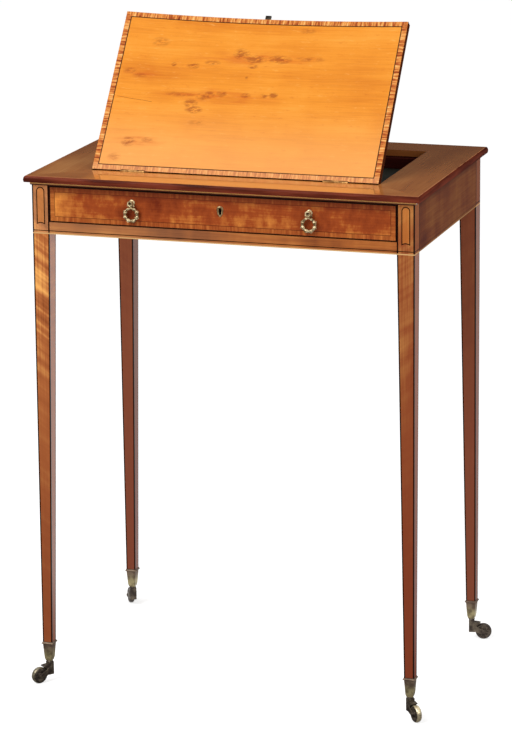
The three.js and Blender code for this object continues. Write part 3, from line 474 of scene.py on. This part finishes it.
# %% [markdown]
# ## Frieze and legs
# The legs are veneered with their grain upwards and edged with dark strings let into
# every arris. On the block at the frieze each front has an inlaid oblong, round at its
# top and hollow at its foot. A pale boxwood line runs along the foot of the frieze with a
# dark string above it, over legs and rail alike.

# %% Lines along the foot of the frieze
pale_line = (frieze_foot, frieze_foot + 1.7 * MM)
dark_line = (frieze_foot + 4.2 * MM, frieze_foot + 5.4 * MM)
string_black = srgb(34, 14, 7)
box_pale = srgb(210, 164, 108)


def add_foot_lines(finish, colour, front):
    """Puts the pale line and the dark string on faces where front is 1."""
    colour = finish.mix(colour, box_pale, band(finish.z, *pale_line) * front)
    return finish.mix(colour, string_black, band(finish.z, *dark_line) * front)


# %% Inlaid oblong on the legs' blocks
oblong_half = 6.25 * MM
oblong_top = 738.6 * MM
oblong_foot = 684.4 * MM
oblong_line = 1.45 * MM
oblong_bow = 2.0 * MM


def oblong(finish, across):
    """Distance inside the oblong: its sides, its round top and its hollow foot."""
    centre_z = oblong_top - oblong_half
    above = (finish.z - centre_z).most(0)
    radius = (across * across + above * above).math("SQRT")
    share = across / oblong_half
    foot = (1 - share * share) * oblong_bow + oblong_foot
    return (oblong_half - radius).least(finish.z - foot)


# %% Finish of a leg
arris_string = 1.9 * MM


def make_leg_finish(name, side_x, side_y, light, seed, figure, haze):
    """light: how pale, partly the wood's own tone and partly painted shade, lowest on the back
    legs; figure: how strong the ripples; haze: polish on the tapered sides.
    """
    finish = Finish(name)
    out_x = half_width - (finish.x - mid_x) * side_x
    out_y = half_depth - (finish.y - mid_y) * side_y
    drop = ((frieze_foot - finish.z) / (frieze_foot - leg_foot_z)).most(0)
    square = leg_square - drop * (leg_square - leg_foot_square)
    wood, pores = grain(
        finish, finish.z + out_x * 0.7, out_x, out_y, figure=figure, figure_scale=70, seed=seed)
    high = finish.z.ramp(0.1, 0.72)
    dark, mid, pale = (
        dim(shade, light)
        for shade in (srgb(112, 52, 24), srgb(178, 104, 56), srgb(242, 174, 94)))
    near_x = out_x.least(square - out_x)
    near_y = out_y.least(square - out_y)
    side_face = near_x < 0.15 * MM
    contrast = (finish.z.ramp(0.4, 0.56) * 0.75 + 0.25) * (0.9 + figure * 0.6)
    contrast = contrast * (1 - side_face * 0.7)
    colour = finish.colours(
        (wood - 0.5) * contrast + 0.5, [(0.15, dark), (0.5, mid), (0.85, pale)])
    foot = dim(srgb(126, 62, 38), 0.5 + 0.5 * light)
    colour = finish.mix(colour, foot, (1 - high) * 0.8)
    if side_x > 0 and side_y < 0:
        colour = finish.mix(colour, srgb(121, 27, 30), 0.28)
    if side_x < 0 and side_y < 0:
        colour = finish.mix(colour, srgb(216, 158, 109), (finish.z > frieze_foot) * 0.35)
    string = near_x.most(near_y) < arris_string
    if side_y < 0:
        front = out_y < 0.2 * MM
        inside = oblong(finish, out_x - leg_square / 2)
        colour = finish.mix(colour, srgb(206, 124, 54), (inside > oblong_line) * front * 0.45)
        colour = finish.mix(colour, string_black, band(inside, 0, oblong_line) * front)
    if side_y > 0:
        # On the back legs a dull pinkish brown is mixed in: painted shade, with a painted sheen
        # of the polish.
        colour = finish.mix(colour, srgb(134, 74, 58), 0.6)
    colour = finish.mix(colour, string_black, string)
    colour = add_foot_lines(finish, colour, 1.0)
    rough = pores * 0.1 + 0.24
    return finish.surface(
        Base_Color=colour, Roughness=rough, Specular_IOR_Level=0.0,
        Coat_Weight=side_face * (finish.z < frieze_foot) * haze + 0.08, Coat_Roughness=0.12,
        Normal=polish_bump(finish, pores))


# %% Finish of the frieze boards
# A painted shadow darkens the side boards just under the top's overhang, between these two
# heights.
shadow_under_top_low = top_z - 26 * MM
shadow_under_top_high = top_z - 12 * MM


def make_frieze_finish(name, along_x, shade, gloss):
    finish = Finish(name)
    x, y = finish.x - mid_x, finish.y - mid_y
    along, across = (x, y) if along_x else (y, x)
    wood, pores = grain(finish, along, finish.z, across, figure=0.5, figure_scale=30, seed=2.2)
    colour = finish.colours((wood - 0.5) * 1.3 + 0.48, [
        (0.15, dim(srgb(112, 46, 18), shade)),
        (0.5, dim(srgb(176, 96, 40), shade)),
        (0.85, dim(srgb(222, 142, 66), shade)),
    ])
    if not along_x:
        # Painted shadow under the top's overhang.
        shadow_under_top = finish.z.ramp(shadow_under_top_low, shadow_under_top_high)
        colour = finish.mix(colour, srgb(112, 56, 48), 0.3)
        colour = finish.mix(colour, srgb(58, 26, 18), shadow_under_top * 0.6)
    else:
        colour = finish.mix(colour, srgb(172, 130, 94), (1 - x.ramp(-0.26, 0.2)) * 0.3 + 0.1)
    colour = add_foot_lines(finish, colour, 1.0 if along_x else 0.45)
    rough = pores * 0.1 + 0.28
    return finish.surface(
        Base_Color=colour, Roughness=rough, Specular_IOR_Level=0.0, Coat_Weight=gloss,
        Coat_Roughness=0.2, Normal=polish_bump(finish, pores))


# %% [markdown]
# ## The drawer front
# Figured satinwood, cloudy and reddish, with a crossband round it and a fine dark string
# between the two. The upper part, under the top's overhang, is painted a deep purplish brown
# as shadow; a dark edge all round paints the shade of the gap, the keyhole the shade inside it.

# %% Finish of the drawer front
drawer_low, drawer_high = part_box("drawer_front")
key_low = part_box("escutcheon")[0].z + 2 * MM
key_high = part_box("escutcheon")[1].z - 2 * MM
keyhole_half = 2.9 * MM
drawer_band = 7.5 * MM
drawer_line = 0.8 * MM
drawer_gap_shade = 1.3 * MM
shadow_low = drawer_high.z - 19 * MM
shadow_high = drawer_high.z - 3 * MM


def make_drawer_finish():
    finish = Finish("drawer_veneer")
    x = finish.x - mid_x
    side = (drawer_high.x - drawer_low.x) / 2 - abs(x)
    ends = (finish.z - drawer_low.z).least(drawer_high.z - finish.z)
    edge = side.least(ends)
    wood, pores = grain(finish, x, finish.z, finish.y, figure=0.8, figure_scale=26, seed=4.4)
    clouds = finish.noise(finish.point(x * 18, finish.z * 40, 0.0), detail=3)
    mottle = finish.noise(finish.point(x * 75, finish.z * 38, 5.0), detail=4, roughness=0.65)
    shade = (wood - 0.5) * 0.8 + (clouds - 0.5) * 0.65 + (mottle - 0.5) * 0.75 + 0.43
    shade = shade + (1 - x.ramp(-0.26, -0.08)) * 0.3 + x.ramp(0.1, 0.24) * 0.08
    field = finish.colours(shade, [
        (0.1, srgb(112, 40, 16)), (0.48, srgb(156, 70, 28)), (0.9, srgb(226, 142, 62)),
    ])
    runs_up = side < ends
    along_edge = finish.z * runs_up + x * (1 - runs_up)
    stripes = finish.noise(finish.point(along_edge * 200, edge * 20, 3.0), detail=3)
    cross = finish.colours(stripes, [
        (0.3, srgb(116, 48, 20)), (0.5, srgb(160, 80, 34)), (0.72, srgb(204, 122, 58)),
    ])
    colour = finish.mix(field, cross, (edge < drawer_band) * 0.7)
    line = band(edge, drawer_band, drawer_band + drawer_line)
    colour = finish.mix(colour, srgb(66, 26, 12), line * 0.8)
    # Painted shadow under the top's overhang darkens the upper part.
    overhang_shadow = finish.z.ramp(shadow_low, shadow_high)
    colour = finish.mix(colour, srgb(84, 26, 16), overhang_shadow * 0.62)
    # A dark edge all round: painted shade of the gap round the drawer.
    colour = finish.mix(colour, string_black, edge < drawer_gap_shade)
    # Painted shade: the keyhole is painted near black where the hole's dark inside would be.
    keyhole = (abs(x) < keyhole_half) * band(finish.z, key_low, key_high)
    colour = finish.mix(colour, srgb(10, 6, 4), keyhole)
    rough = pores * 0.1 + 0.27
    return finish.surface(
        Base_Color=colour, Roughness=rough, Specular_IOR_Level=0.08,
        Coat_Weight=0.1, Coat_Roughness=0.2, Normal=polish_bump(finish, pores))


# %% [markdown]
# ## Plain woods
# Boxwood for the bead, bare oak inside, and the dark stained lining of the well.

# %% Finishes of the plain woods
def make_bead_finish():
    """Boxwood on the bead's upper half; its lower half is painted dark brown as the shadow under
    the top's edge.
    """
    finish = Finish("bead_boxwood")
    wood, pores = grain(finish, finish.x + finish.y, finish.z, finish.z, figure=0.1)
    colour = finish.mix(srgb(212, 148, 70), srgb(246, 196, 120), wood)
    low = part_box("top_bead")[0].z
    # Painted shadow: the lower half of the bead is dark brown.
    colour = finish.mix(srgb(84, 36, 20), colour, finish.z.ramp(low + 1.6 * MM, low + 2.8 * MM))
    return finish.surface(
        Base_Color=colour, Roughness=pores * 0.1 + 0.35, Specular_IOR_Level=0.25,
        Normal=polish_bump(finish, pores))


def make_plain_wood(name, along_axis, dark, light, roughness):
    finish = Finish(name)
    axes = [finish.x, finish.y, finish.z]
    along = axes.pop(along_axis)
    wood, pores = grain(finish, along, axes[0], axes[1], figure=0.1, seed=along_axis * 1.3)
    colour = finish.mix(dark, light, wood)
    rough = pores * 0.12 + roughness
    return finish.surface(
        Base_Color=colour, Roughness=rough, Specular_IOR_Level=0.05,
        Normal=polish_bump(finish, pores))


# %% [markdown]
# ## Metal
# The brass is old: olive brown where nobody touches it, brighter on what stands out.
# A large noise mixes the two, a fine one gives the sand-cast surface.

# %% Finish of brass and steel, with the handle's main sizes
boss_rise = 3.7 * MM
wreath_radius = 9.1 * MM
wreath_drop = 12.6 * MM
dish_edge = (1.5 * MM, 2.4 * MM)
wheel_tread = (10.4 * MM, 11.4 * MM)


def cast_bump(finish, place):
    """The fine grain that sand leaves on cast brass."""
    return finish.bump(finish.noise(place, scale=1500, detail=2), 0.25, 0.1 * MM)


def make_metal(name, dull, bright, roughness, scale=120, metallic=1.0):
    finish = Finish(name)
    place = finish.point(finish.x, finish.y, finish.z)
    blotches = finish.noise(place, scale=scale, detail=4)
    colour = finish.mix(dull, bright, blotches.ramp(0.38, 0.68))
    rough = (1 - blotches) * 0.25 + roughness
    return finish.surface(
        Base_Color=colour, Roughness=rough, Metallic=metallic, Normal=cast_bump(finish, place))


def make_wheel_finish(name, joint, gold):
    """Dark cheeks; the tread, at the wheel's full radius, is polished by the floor. Its colour,
    gold, is given for each wheel and also paints that wheel's light and shade.
    """
    finish = Finish(name)
    centre, axis = joint["pos_m"], joint["axis"]
    parts = [finish.x - centre[0], finish.y - centre[1], finish.z - centre[2]]
    beside = parts[0] * axis[0] + parts[1] * axis[1] + parts[2] * axis[2]
    square = parts[0] * parts[0] + parts[1] * parts[1] + parts[2] * parts[2]
    radius = (square - beside * beside).most(0).math("SQRT")
    place = finish.point(finish.x, finish.y, finish.z)
    blotches = finish.noise(place, scale=260, detail=4)
    tread = radius.ramp(*wheel_tread)
    cheek = finish.mix(srgb(64, 56, 50), srgb(118, 106, 92), blotches.ramp(0.4, 0.7))
    bright = finish.mix(dim(gold, 0.6), gold, blotches.ramp(0.3, 0.6))
    colour = finish.mix(cheek, bright, tread)
    rough = 0.5 - tread * 0.26 + blotches * 0.1
    return finish.surface(
        Base_Color=colour, Roughness=rough, Metallic=0.75, Normal=cast_bump(finish, place))


def make_cup_finish():
    """Darker brown on the upper part, a painted reflection of the leg above; paler and greenish
    lower down.
    """
    finish = Finish("cup_brass")
    place = finish.point(finish.x, finish.y, finish.z)
    blotches = finish.noise(place, scale=110, detail=4)
    # Painted reflection: the upper part is mixed toward the brown of the leg it mirrors.
    low = 1 - finish.z.ramp(cup_top - 22 * MM, cup_top - 6 * MM)
    dull = finish.mix(srgb(104, 84, 70), srgb(124, 112, 82), low)
    bright = finish.mix(srgb(138, 118, 98), srgb(186, 172, 128), low)
    colour = finish.mix(dull, bright, blotches.ramp(0.36, 0.64))
    return finish.surface(
        Base_Color=colour, Roughness=0.5 - low * 0.12, Metallic=0.6,
        Normal=cast_bump(finish, place))


def make_handle_finish():
    """Bright where it stands out, dark in the boss's dish and between the swellings."""
    finish = Finish("handle_brass")
    pivot = joints["ring_right_swing"]["pos_m"]
    across = abs(finish.x - mid_x) - (pivot[0] - mid_x)
    above = finish.z - pivot[2] - boss_rise
    dish = 1 - (across * across + above * above).math("SQRT").ramp(*dish_edge)
    turn = across.math("ARCTAN2", finish.z - pivot[2] + wreath_drop)
    hollow = ((turn * 8).cosine() * 0.5 + 0.5).ramp(0.55, 1.0)
    on_ring = finish.z < pivot[2] - 4 * MM
    blotches = finish.noise(finish.point(finish.x, finish.y, finish.z), scale=300, detail=4)
    colour = finish.mix(srgb(128, 102, 62), srgb(248, 226, 178), blotches.ramp(0.38, 0.62))
    colour = finish.mix(colour, srgb(78, 54, 30), (hollow * on_ring * 0.55).most(dish * 0.85))
    return finish.surface(
        Base_Color=colour, Roughness=0.42 - blotches * 0.3, Metallic=0.5,
        Normal=finish.bump(blotches, 0.2, 0.1 * MM))


# %% [markdown]
# ## The warped leaf
# Two centuries of dry rooms have bowed the leaf: its middle lies lower than its ends, most
# of all along the free edge. The solid is flat. A copy of it is cut into strips across, and
# every point is turned about the hinge's axis by an angle that grows with the square of
# the distance from the middle.

# %% Bow the leaf
def bowed_leaf():
    """Angle added at x: warp * (x / half the width) squared, about the hinge's axis."""
    source = nodes["slope_leaf"].data
    work = bmesh.new()
    work.from_mesh(source)
    bmesh.ops.remove_doubles(work, verts=work.verts, dist=1e-6)
    for share in np.linspace(-0.94, 0.94, 48):
        everything = work.verts[:] + work.edges[:] + work.faces[:]
        place = (mid_x + share * leaf_half_width, 0, 0)
        bmesh.ops.bisect_plane(work, geom=everything, plane_co=place, plane_no=(1, 0, 0))
    mesh = bpy.data.meshes.new("bowed_leaf")
    work.to_mesh(mesh)
    work.free()
    flat = np.empty(3 * len(mesh.vertices))
    mesh.vertices.foreach_get("co", flat)
    points = flat.reshape(-1, 3)
    angle = math.radians(warp_degrees) * ((points[:, 0] - mid_x) / leaf_half_width) ** 2
    dy, dz = points[:, 1] - hinge_y, points[:, 2] - hinge_z
    points[:, 1] = hinge_y + dy * np.cos(angle) - dz * np.sin(angle)
    points[:, 2] = hinge_z + dy * np.sin(angle) + dz * np.cos(angle)
    mesh.vertices.foreach_set("co", points.ravel())
    mesh.update()
    return mesh


# %% A mesh becomes a piece
def add_piece(mesh, name, material, slot, body, *stands_for):
    """Links the mesh as an object at the origin, on its body, in place of its solids."""
    piece = bpy.data.objects.new(name, mesh)
    bpy.context.scene.collection.objects.link(piece)
    mesh.materials.clear()
    mesh.materials.append(material)
    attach(piece, body)
    if stands_for:
        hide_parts(*stands_for)
    print(name, len(mesh.polygons), "faces")
    return piece


add_piece(bowed_leaf(), "bowed_leaf", make_slope_finish(), "slope_wood", "slope", "slope_leaf")

# %% [markdown]
# ## Handles
# Each handle is a turned, dished boss with an eye below it, and a ring cast as a small
# wreath: eight swellings with a twisted rib. Both are surfaces of two parameters, so numpy
# can work out all points at once.

# %% From a grid of points to a mesh
def grid_mesh(name, *grids, sharp_degrees=50):
    """Joins grids of points, each closed both ways, into one mesh with outward faces."""
    all_points, all_faces, start = [], [], 0
    for grid in grids:
        rows, columns = grid.shape[:2]
        row, column = np.meshgrid(np.arange(rows), np.arange(columns), indexing="ij")
        next_row, next_column = (row + 1) % rows, (column + 1) % columns
        faces = np.stack([
            row * columns + column, row * columns + next_column,
            next_row * columns + next_column, next_row * columns + column,
        ], axis=-1).reshape(-1, 4) + start
        all_points.append(grid.reshape(-1, 3))
        all_faces.append(faces)
        start += rows * columns
    mesh = bpy.data.meshes.new(name)
    mesh.from_pydata(np.concatenate(all_points).tolist(), [], np.concatenate(all_faces).tolist())
    work = bmesh.new()
    work.from_mesh(mesh)
    bmesh.ops.remove_doubles(work, verts=work.verts, dist=2e-6)
    bmesh.ops.dissolve_degenerate(work, edges=work.edges, dist=1e-7)
    bmesh.ops.recalc_face_normals(work, faces=work.faces)
    work.to_mesh(mesh)
    work.free()
    mesh.shade_smooth()
    mesh.set_sharp_from_angle(angle=math.radians(sharp_degrees))
    return mesh


# %% The surfaces of a handle
boss_profile = np.array([
    (0.0, 0.3), (4.2, 0.3), (4.5, 0.8), (4.3, 1.4), (3.8, 1.6), (3.3, 1.9), (3.1, 2.6),
    (3.0, 4.0), (2.9, 5.8), (3.0, 6.6), (3.6, 7.2), (4.0, 8.0), (4.1, 8.9), (3.8, 9.8),
    (3.3, 10.3), (2.7, 10.2), (2.2, 9.4), (1.9, 8.4), (1.5, 7.7), (0.9, 7.4), (0.0, 7.3),
]) * MM


def smooth_profile(profile, steps=4):
    """More points on a smooth line through the given ones (a Catmull-Rom curve)."""
    before = np.vstack([profile[:1], profile[:-1]])
    after = np.vstack([profile[1:], profile[-1:]])
    after_next = np.vstack([profile[2:], profile[-1:], profile[-1:]])
    t = np.linspace(0, 1, steps, endpoint=False)[None, :, None]
    a, b, c, d = (p[:, None, :] for p in (before, profile, after, after_next))
    line = 0.5 * (2 * b + (c - a) * t + (2 * a - 5 * b + 4 * c - d) * t ** 2
                  + (3 * b - 3 * c + d - a) * t ** 3)
    line = line.reshape(-1, 2)[:-steps + 1]
    line[:, 0] = np.maximum(line[:, 0], 0)
    return line


# The pin, the eye round it and the ring's tube, in millimetres.
pin_reach, pin_radius, pin_bead = 4.2, 0.85, 1.5
eye_radius, eye_tube, eye_half_width = 2.3, 0.95, 1.5
tube_least, tube_swell, tube_rib = 1.95, 1.0, 0.12


def boss_surface(centre, face_y):
    """Turned about the y axis: radius from the profile, with 14 gadroons on the cap."""
    radius, out = smooth_profile(boss_profile).T
    turn = np.linspace(0, 2 * np.pi, 56, endpoint=False)
    cap = np.clip((out - 6.5 * MM) / (2 * MM), 0, 1) * np.clip(radius / (3 * MM), 0, 1)
    swell = 1 + 0.045 * cap[:, None] * np.cos(14 * turn)[None, :]
    r = radius[:, None] * swell
    return np.stack([
        centre[0] + r * np.cos(turn), face_y - out[:, None] + 0 * r, centre[2] + r * np.sin(turn),
    ], axis=-1)


def bar_surface(centre):
    """Turned about the x axis: the pin that the ring hangs on, with a bead at each end."""
    x = np.linspace(-pin_reach - pin_bead, pin_reach + pin_bead, 58)
    pin = np.where(np.abs(x) < pin_reach, pin_radius, 0)
    bead = np.sqrt(np.maximum(pin_bead ** 2 - (np.abs(x) - pin_reach) ** 2, 0))
    radius = np.maximum(pin, bead) * MM
    radius[[0, -1]] = 0
    turn = np.linspace(0, 2 * np.pi, 24, endpoint=False)
    return np.stack([
        centre[0] + x[:, None] * MM + 0 * turn,
        centre[1] + radius[:, None] * np.cos(turn),
        centre[2] + radius[:, None] * np.sin(turn),
    ], axis=-1)


def link_surface(pivot):
    """A torus about the x axis: the ring's own eye, round the pin."""
    u = np.linspace(0, 2 * np.pi, 36, endpoint=False)[:, None]
    v = np.linspace(0, 2 * np.pi, 16, endpoint=False)[None, :]
    away = (eye_radius + eye_tube * np.cos(v)) * MM
    return np.stack([
        pivot[0] + eye_half_width * MM * np.sin(v) + 0 * u,
        pivot[1] + away * np.cos(u),
        pivot[2] + away * np.sin(u),
    ], axis=-1)


def wreath_surface(pivot):
    """A torus whose tube swells eight times round the ring, with a twisted rib on it.

    It is thinner at the top, so that the ring can swing up under the boss.
    """
    u = np.linspace(0, 2 * np.pi, 288, endpoint=False)[:, None]
    v = np.linspace(0, 2 * np.pi, 24, endpoint=False)[None, :]
    swell = (0.5 - 0.5 * np.cos(8 * u)) ** 1.4
    tube = (tube_least + tube_swell * swell) * MM
    tube = tube * (1 + tube_rib * swell * np.cos(3 * v + 16 * u))
    from_top = np.minimum(u, 2 * np.pi - u)
    tube = tube * (1 - 0.55 * np.exp(-(from_top / 0.6) ** 2))
    away = wreath_radius + tube * np.cos(v)
    return np.stack([
        pivot[0] + away * np.sin(u),
        pivot[1] + tube * np.sin(v) + 0 * away,
        pivot[2] - wreath_drop + away * np.cos(u),
    ], axis=-1)


# %% [markdown]
# ## Keyhole plate
# A narrow rim of pale brass round the keyhole, round at the top and pointed at the foot.
# Its section, a low rounded bar, is carried along the outline.

# %% The rim
rim_half_width = 4.8 * MM
shoulder_share = 0.8


def keyhole_outline(inset, low, high):
    """A closed line: half a circle on top, then straight sides to a point below."""
    reach = rim_half_width - inset
    turn = np.linspace(0, np.pi, 25)
    arc = np.stack([reach * np.cos(turn), high - rim_half_width + reach * np.sin(turn)], axis=-1)
    share = np.linspace(0.2, 1, 8)[:, None]
    shoulder = np.array([-shoulder_share * reach, low + rim_half_width])
    foot = np.array([0, low + inset])
    left = arc[-1] + (shoulder - arc[-1]) * share
    tip = shoulder + (foot - shoulder) * share
    mirror = np.array([-1, 1])
    return np.concatenate([arc, left, tip, tip[-2::-1] * mirror, left[::-1] * mirror])


def rim_surface(low, high, face_y):
    """Insets and heights of the section, all in millimetres, along the outline."""
    section = [(0.05, -1.1), (0.05, 0.1), (0.7, 0.25), (1.1, 0.6), (1.8, 0.75), (2.4, 0.55),
               (2.7, 0.2), (2.75, -1.1)]
    rows = []
    for inset, proud in section:
        line = keyhole_outline(inset * MM, low, high)
        depth = np.full(len(line), face_y - proud * MM)
        rows.append(np.stack([mid_x + line[:, 0], depth, line[:, 1]], axis=-1))
    return np.array(rows)


# %% [markdown]
# ## Dressing the solids
# Each solid keeps its shape and gets its finish in every material slot.

# %% Give each solid its finish
def dress(names, material):
    for name in names:
        for slot in nodes[name].material_slots:
            slot.material = material


dress(["top_rail_front", "top_rail_back"], make_top_finish("top_long", True))
dress(["top_rail_left", "top_rail_right"], make_top_finish("top_short", False))
dress(["leg_front_left"], make_leg_finish("leg_fl_veneer", -1, -1, 1.1, 0.2, 0.8, 0.92))
dress(["leg_front_right"], make_leg_finish("leg_fr_veneer", 1, -1, 0.8, 1.9, 0.4, 0.3))
# The back legs are given low light values: painted shade.
dress(["leg_back_left"], make_leg_finish("leg_bl_veneer", -1, 1, 0.7, 3.1, 0.35, 0.5))
dress(["leg_back_right"], make_leg_finish("leg_br_veneer", 1, 1, 0.68, 5.3, 0.3, 0.28))
dress(["apron_left", "apron_right"], make_frieze_finish("side_veneer", False, 0.42, 0.06))
dress(["apron_back"], make_frieze_finish("back_veneer", True, 0.75, 0.2))
dress(["drawer_rail"], make_frieze_finish("rail_veneer", True, 0.92, 0.2))
dress(["drawer_front"], make_drawer_finish())
dress(["top_bead"], make_bead_finish())
dress(["top_cross_rail"], make_plain_wood(
    "rail_wood", 0, srgb(112, 50, 34), srgb(156, 82, 56), 0.5))
oak = make_plain_wood("drawer_oak", 1, srgb(112, 74, 42), srgb(176, 128, 80), 0.55)
dress(["drawer_runner_left", "drawer_runner_right", "drawer_side_left", "drawer_side_right"], oak)
dress(["rack_left", "rack_right", "easel_strut", "strut_bracket"], oak)
dress(["drawer_back", "drawer_bottom"], make_plain_wood(
    "drawer_oak_long", 0, srgb(112, 74, 42), srgb(176, 128, 80), 0.55))
dress(["well_wall_left", "well_wall_right"], make_plain_wood(
    "lining_short", 1, srgb(42, 18, 14), srgb(74, 30, 22), 0.5))
dress(["well_wall_front", "well_wall_back"], make_plain_wood(
    "lining_long", 0, srgb(42, 16, 13), srgb(84, 28, 22), 0.5))
dress(["well_floor"], make_plain_wood("lining_floor", 0, srgb(20, 22, 18), srgb(44, 44, 36), 0.6))
steel = make_metal("dark_steel", srgb(40, 36, 32), srgb(96, 88, 76), 0.35)
dress(["lift_tab", "strut_rod", "lock_case"], steel)
brass = make_handle_finish()
hinge_brass = make_metal("hinge_brass", srgb(126, 88, 50), srgb(196, 148, 90), 0.35)
cup_brass = make_cup_finish()
fork_brass = make_metal(
    "fork_brass", srgb(74, 64, 58), srgb(126, 114, 98), 0.34, metallic=0.8)
dress([n for n in nodes if n.startswith("castor_cup")], cup_brass)
dress([n for n in nodes if n.startswith(("castor_fork", "castor_axle"))], fork_brass)
dress([n for n in nodes if n.startswith("hinge_")], hinge_brass)
# Each wheel's tread colour also paints its light: a painted highlight on the front right wheel,
# painted shade on the back wheels.
tread_tones_and_light = {
    "front_left": srgb(156, 146, 122), "front_right": srgb(234, 218, 180),
    "back_left": srgb(84, 76, 70), "back_right": srgb(84, 74, 68),
}
for place, gold in tread_tones_and_light.items():
    wheel = make_wheel_finish(f"wheel_{place}", joints[f"wheel_{place}_spin"], gold)
    dress([f"castor_wheel_{place}"], wheel)
pale_brass = make_metal("pale_brass", srgb(132, 104, 66), srgb(214, 184, 134), 0.25, 300, 0.5)
print("finishes:", len(bpy.data.materials))

# %% Add the handles and the keyhole plate
face_y = drawer_low.y
for side in ("left", "right"):
    pivot = joints[f"ring_{side}_swing"]["pos_m"]
    boss_centre = (pivot[0], pivot[1], pivot[2] + boss_rise)
    boss = grid_mesh(f"boss_{side}", boss_surface(boss_centre, face_y), bar_surface(pivot))
    add_piece(boss, f"boss_{side}", brass, "brass", "drawer", f"handle_boss_{side}")
    wreath = grid_mesh(f"wreath_{side}", wreath_surface(pivot), link_surface(pivot))
    add_piece(wreath, f"wreath_{side}", brass, "brass", f"ring_{side}", f"handle_ring_{side}")
plate_low, plate_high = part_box("escutcheon")
rim = grid_mesh("keyhole_rim", rim_surface(plate_low.z, plate_high.z, face_y), sharp_degrees=40)
add_piece(rim, "keyhole_rim", pale_brass, "pale_brass", "drawer", "escutcheon")

# %% [markdown]
# ## Floor, background and light
# The floor is pale and plain. What the camera and shiny metal see of it is lifted to
# white by a little glow of its own, while the shadow stays. Above the horizon the studio
# is grey, so that polished wood isn't washed out by its reflection. The light is one
# broad soft source from the upper left of the camera, a weaker one from the right, and
# an even glow all round.

# %% Floor
def make_floor():
    finish = Finish("floor_white")
    seen = finish.node("ShaderNodeLightPath", out="Is Camera Ray")
    glossy = finish.node("ShaderNodeLightPath", out="Is Glossy Ray")
    through = finish.node("ShaderNodeLightPath", out="Is Transmission Ray")
    behind = finish.y.ramp(-0.2, 0.4)
    dark_front = glossy * (1 - behind)
    glow = seen.most(through) * 0.55 + glossy * behind * 0.5
    shader = finish.node("ShaderNodeBsdfPrincipled", {
        "Base Color": finish.mix((0.8, 0.8, 0.8, 1), (0.12, 0.11, 0.1, 1), dark_front),
        "Roughness": 0.9, "Specular IOR Level": 0.0,
        "Emission Color": (1, 1, 1, 1), "Emission Strength": glow,
    })
    finish.node("ShaderNodeOutputMaterial", {"Surface": shader})
    size = 30
    corners = np.array([[-size, -size, 0], [size, -size, 0], [size, size, 0], [-size, size, 0]])
    mesh = bpy.data.meshes.new("floor")
    mesh.from_pydata(corners.tolist(), [], [(0, 1, 2, 3)])
    floor = bpy.data.objects.new("floor", mesh)
    bpy.context.scene.collection.objects.link(floor)
    mesh.materials.append(finish.material)


make_floor()


# %% World
def make_world():
    world = bpy.data.worlds.new("studio")
    bpy.context.scene.world = world
    world.use_nodes = True
    tree = world.node_tree
    tree.nodes.clear()

    def node(kind, inputs=None, **settings):
        made = tree.nodes.new(kind)
        for key, value in settings.items():
            setattr(made, key, value)
        for key, value in (inputs or {}).items():
            if isinstance(value, bpy.types.NodeSocket):
                tree.links.new(value, made.inputs[key])
            else:
                made.inputs[key].default_value = value
        return made

    path = node("ShaderNodeLightPath").outputs
    seen = node("ShaderNodeMath", {0: path["Is Camera Ray"], 1: path["Is Transmission Ray"]},
                operation="MAXIMUM").outputs[0]
    direction = node("ShaderNodeTexCoord").outputs["Generated"]
    height = node("ShaderNodeSeparateXYZ", {0: direction}).outputs[2]
    low = node("ShaderNodeMapRange", {
        "Value": height, "From Min": 0.03, "From Max": 0.11, "To Min": 1.0, "To Max": 0.05,
    }).outputs[0]
    high = node("ShaderNodeMapRange", {
        "Value": height, "From Min": 0.34, "From Max": 0.6, "To Min": 0.0, "To Max": 0.95,
    }).outputs[0]
    mirrored = node("ShaderNodeMath", {0: low, 1: high}, operation="ADD").outputs[0]
    mirrored = node("ShaderNodeMath", {0: mirrored, 1: seen}, operation="MAXIMUM").outputs[0]
    shown = node("ShaderNodeMath", {0: seen, 1: path["Is Glossy Ray"]},
                 operation="MAXIMUM").outputs[0]
    wall = node("ShaderNodeBackground", {"Color": (1, 1, 1, 1), "Strength": mirrored}).outputs[0]
    glow = node("ShaderNodeBackground", {"Color": (1, 1, 1, 1), "Strength": 0.55}).outputs[0]
    both = node("ShaderNodeMixShader", {0: shown, 1: glow, 2: wall}).outputs[0]
    node("ShaderNodeOutputWorld", {"Surface": both})


make_world()


# %% Lamps
def add_soft_lamp(name, place, size, power):
    """A square area lamp at place that points at the middle of the table."""
    data = bpy.data.lights.new(name, "AREA")
    data.shape = "SQUARE"
    data.size = size
    data.energy = power
    lamp = bpy.data.objects.new(name, data)
    bpy.context.scene.collection.objects.link(lamp)
    aim = Vector((mid_x, mid_y, 0.6)) - Vector(place)
    lamp.location = place
    lamp.rotation_euler = aim.to_track_quat("-Z", "Y").to_euler()


add_soft_lamp("key_lamp", (-1.4, -2.6, 2.9), 1.8, 70)
add_soft_lamp("fill_lamp", (2.6, -1.6, 2.0), 2.0, 22)
print("lamps:", len(bpy.data.lights))
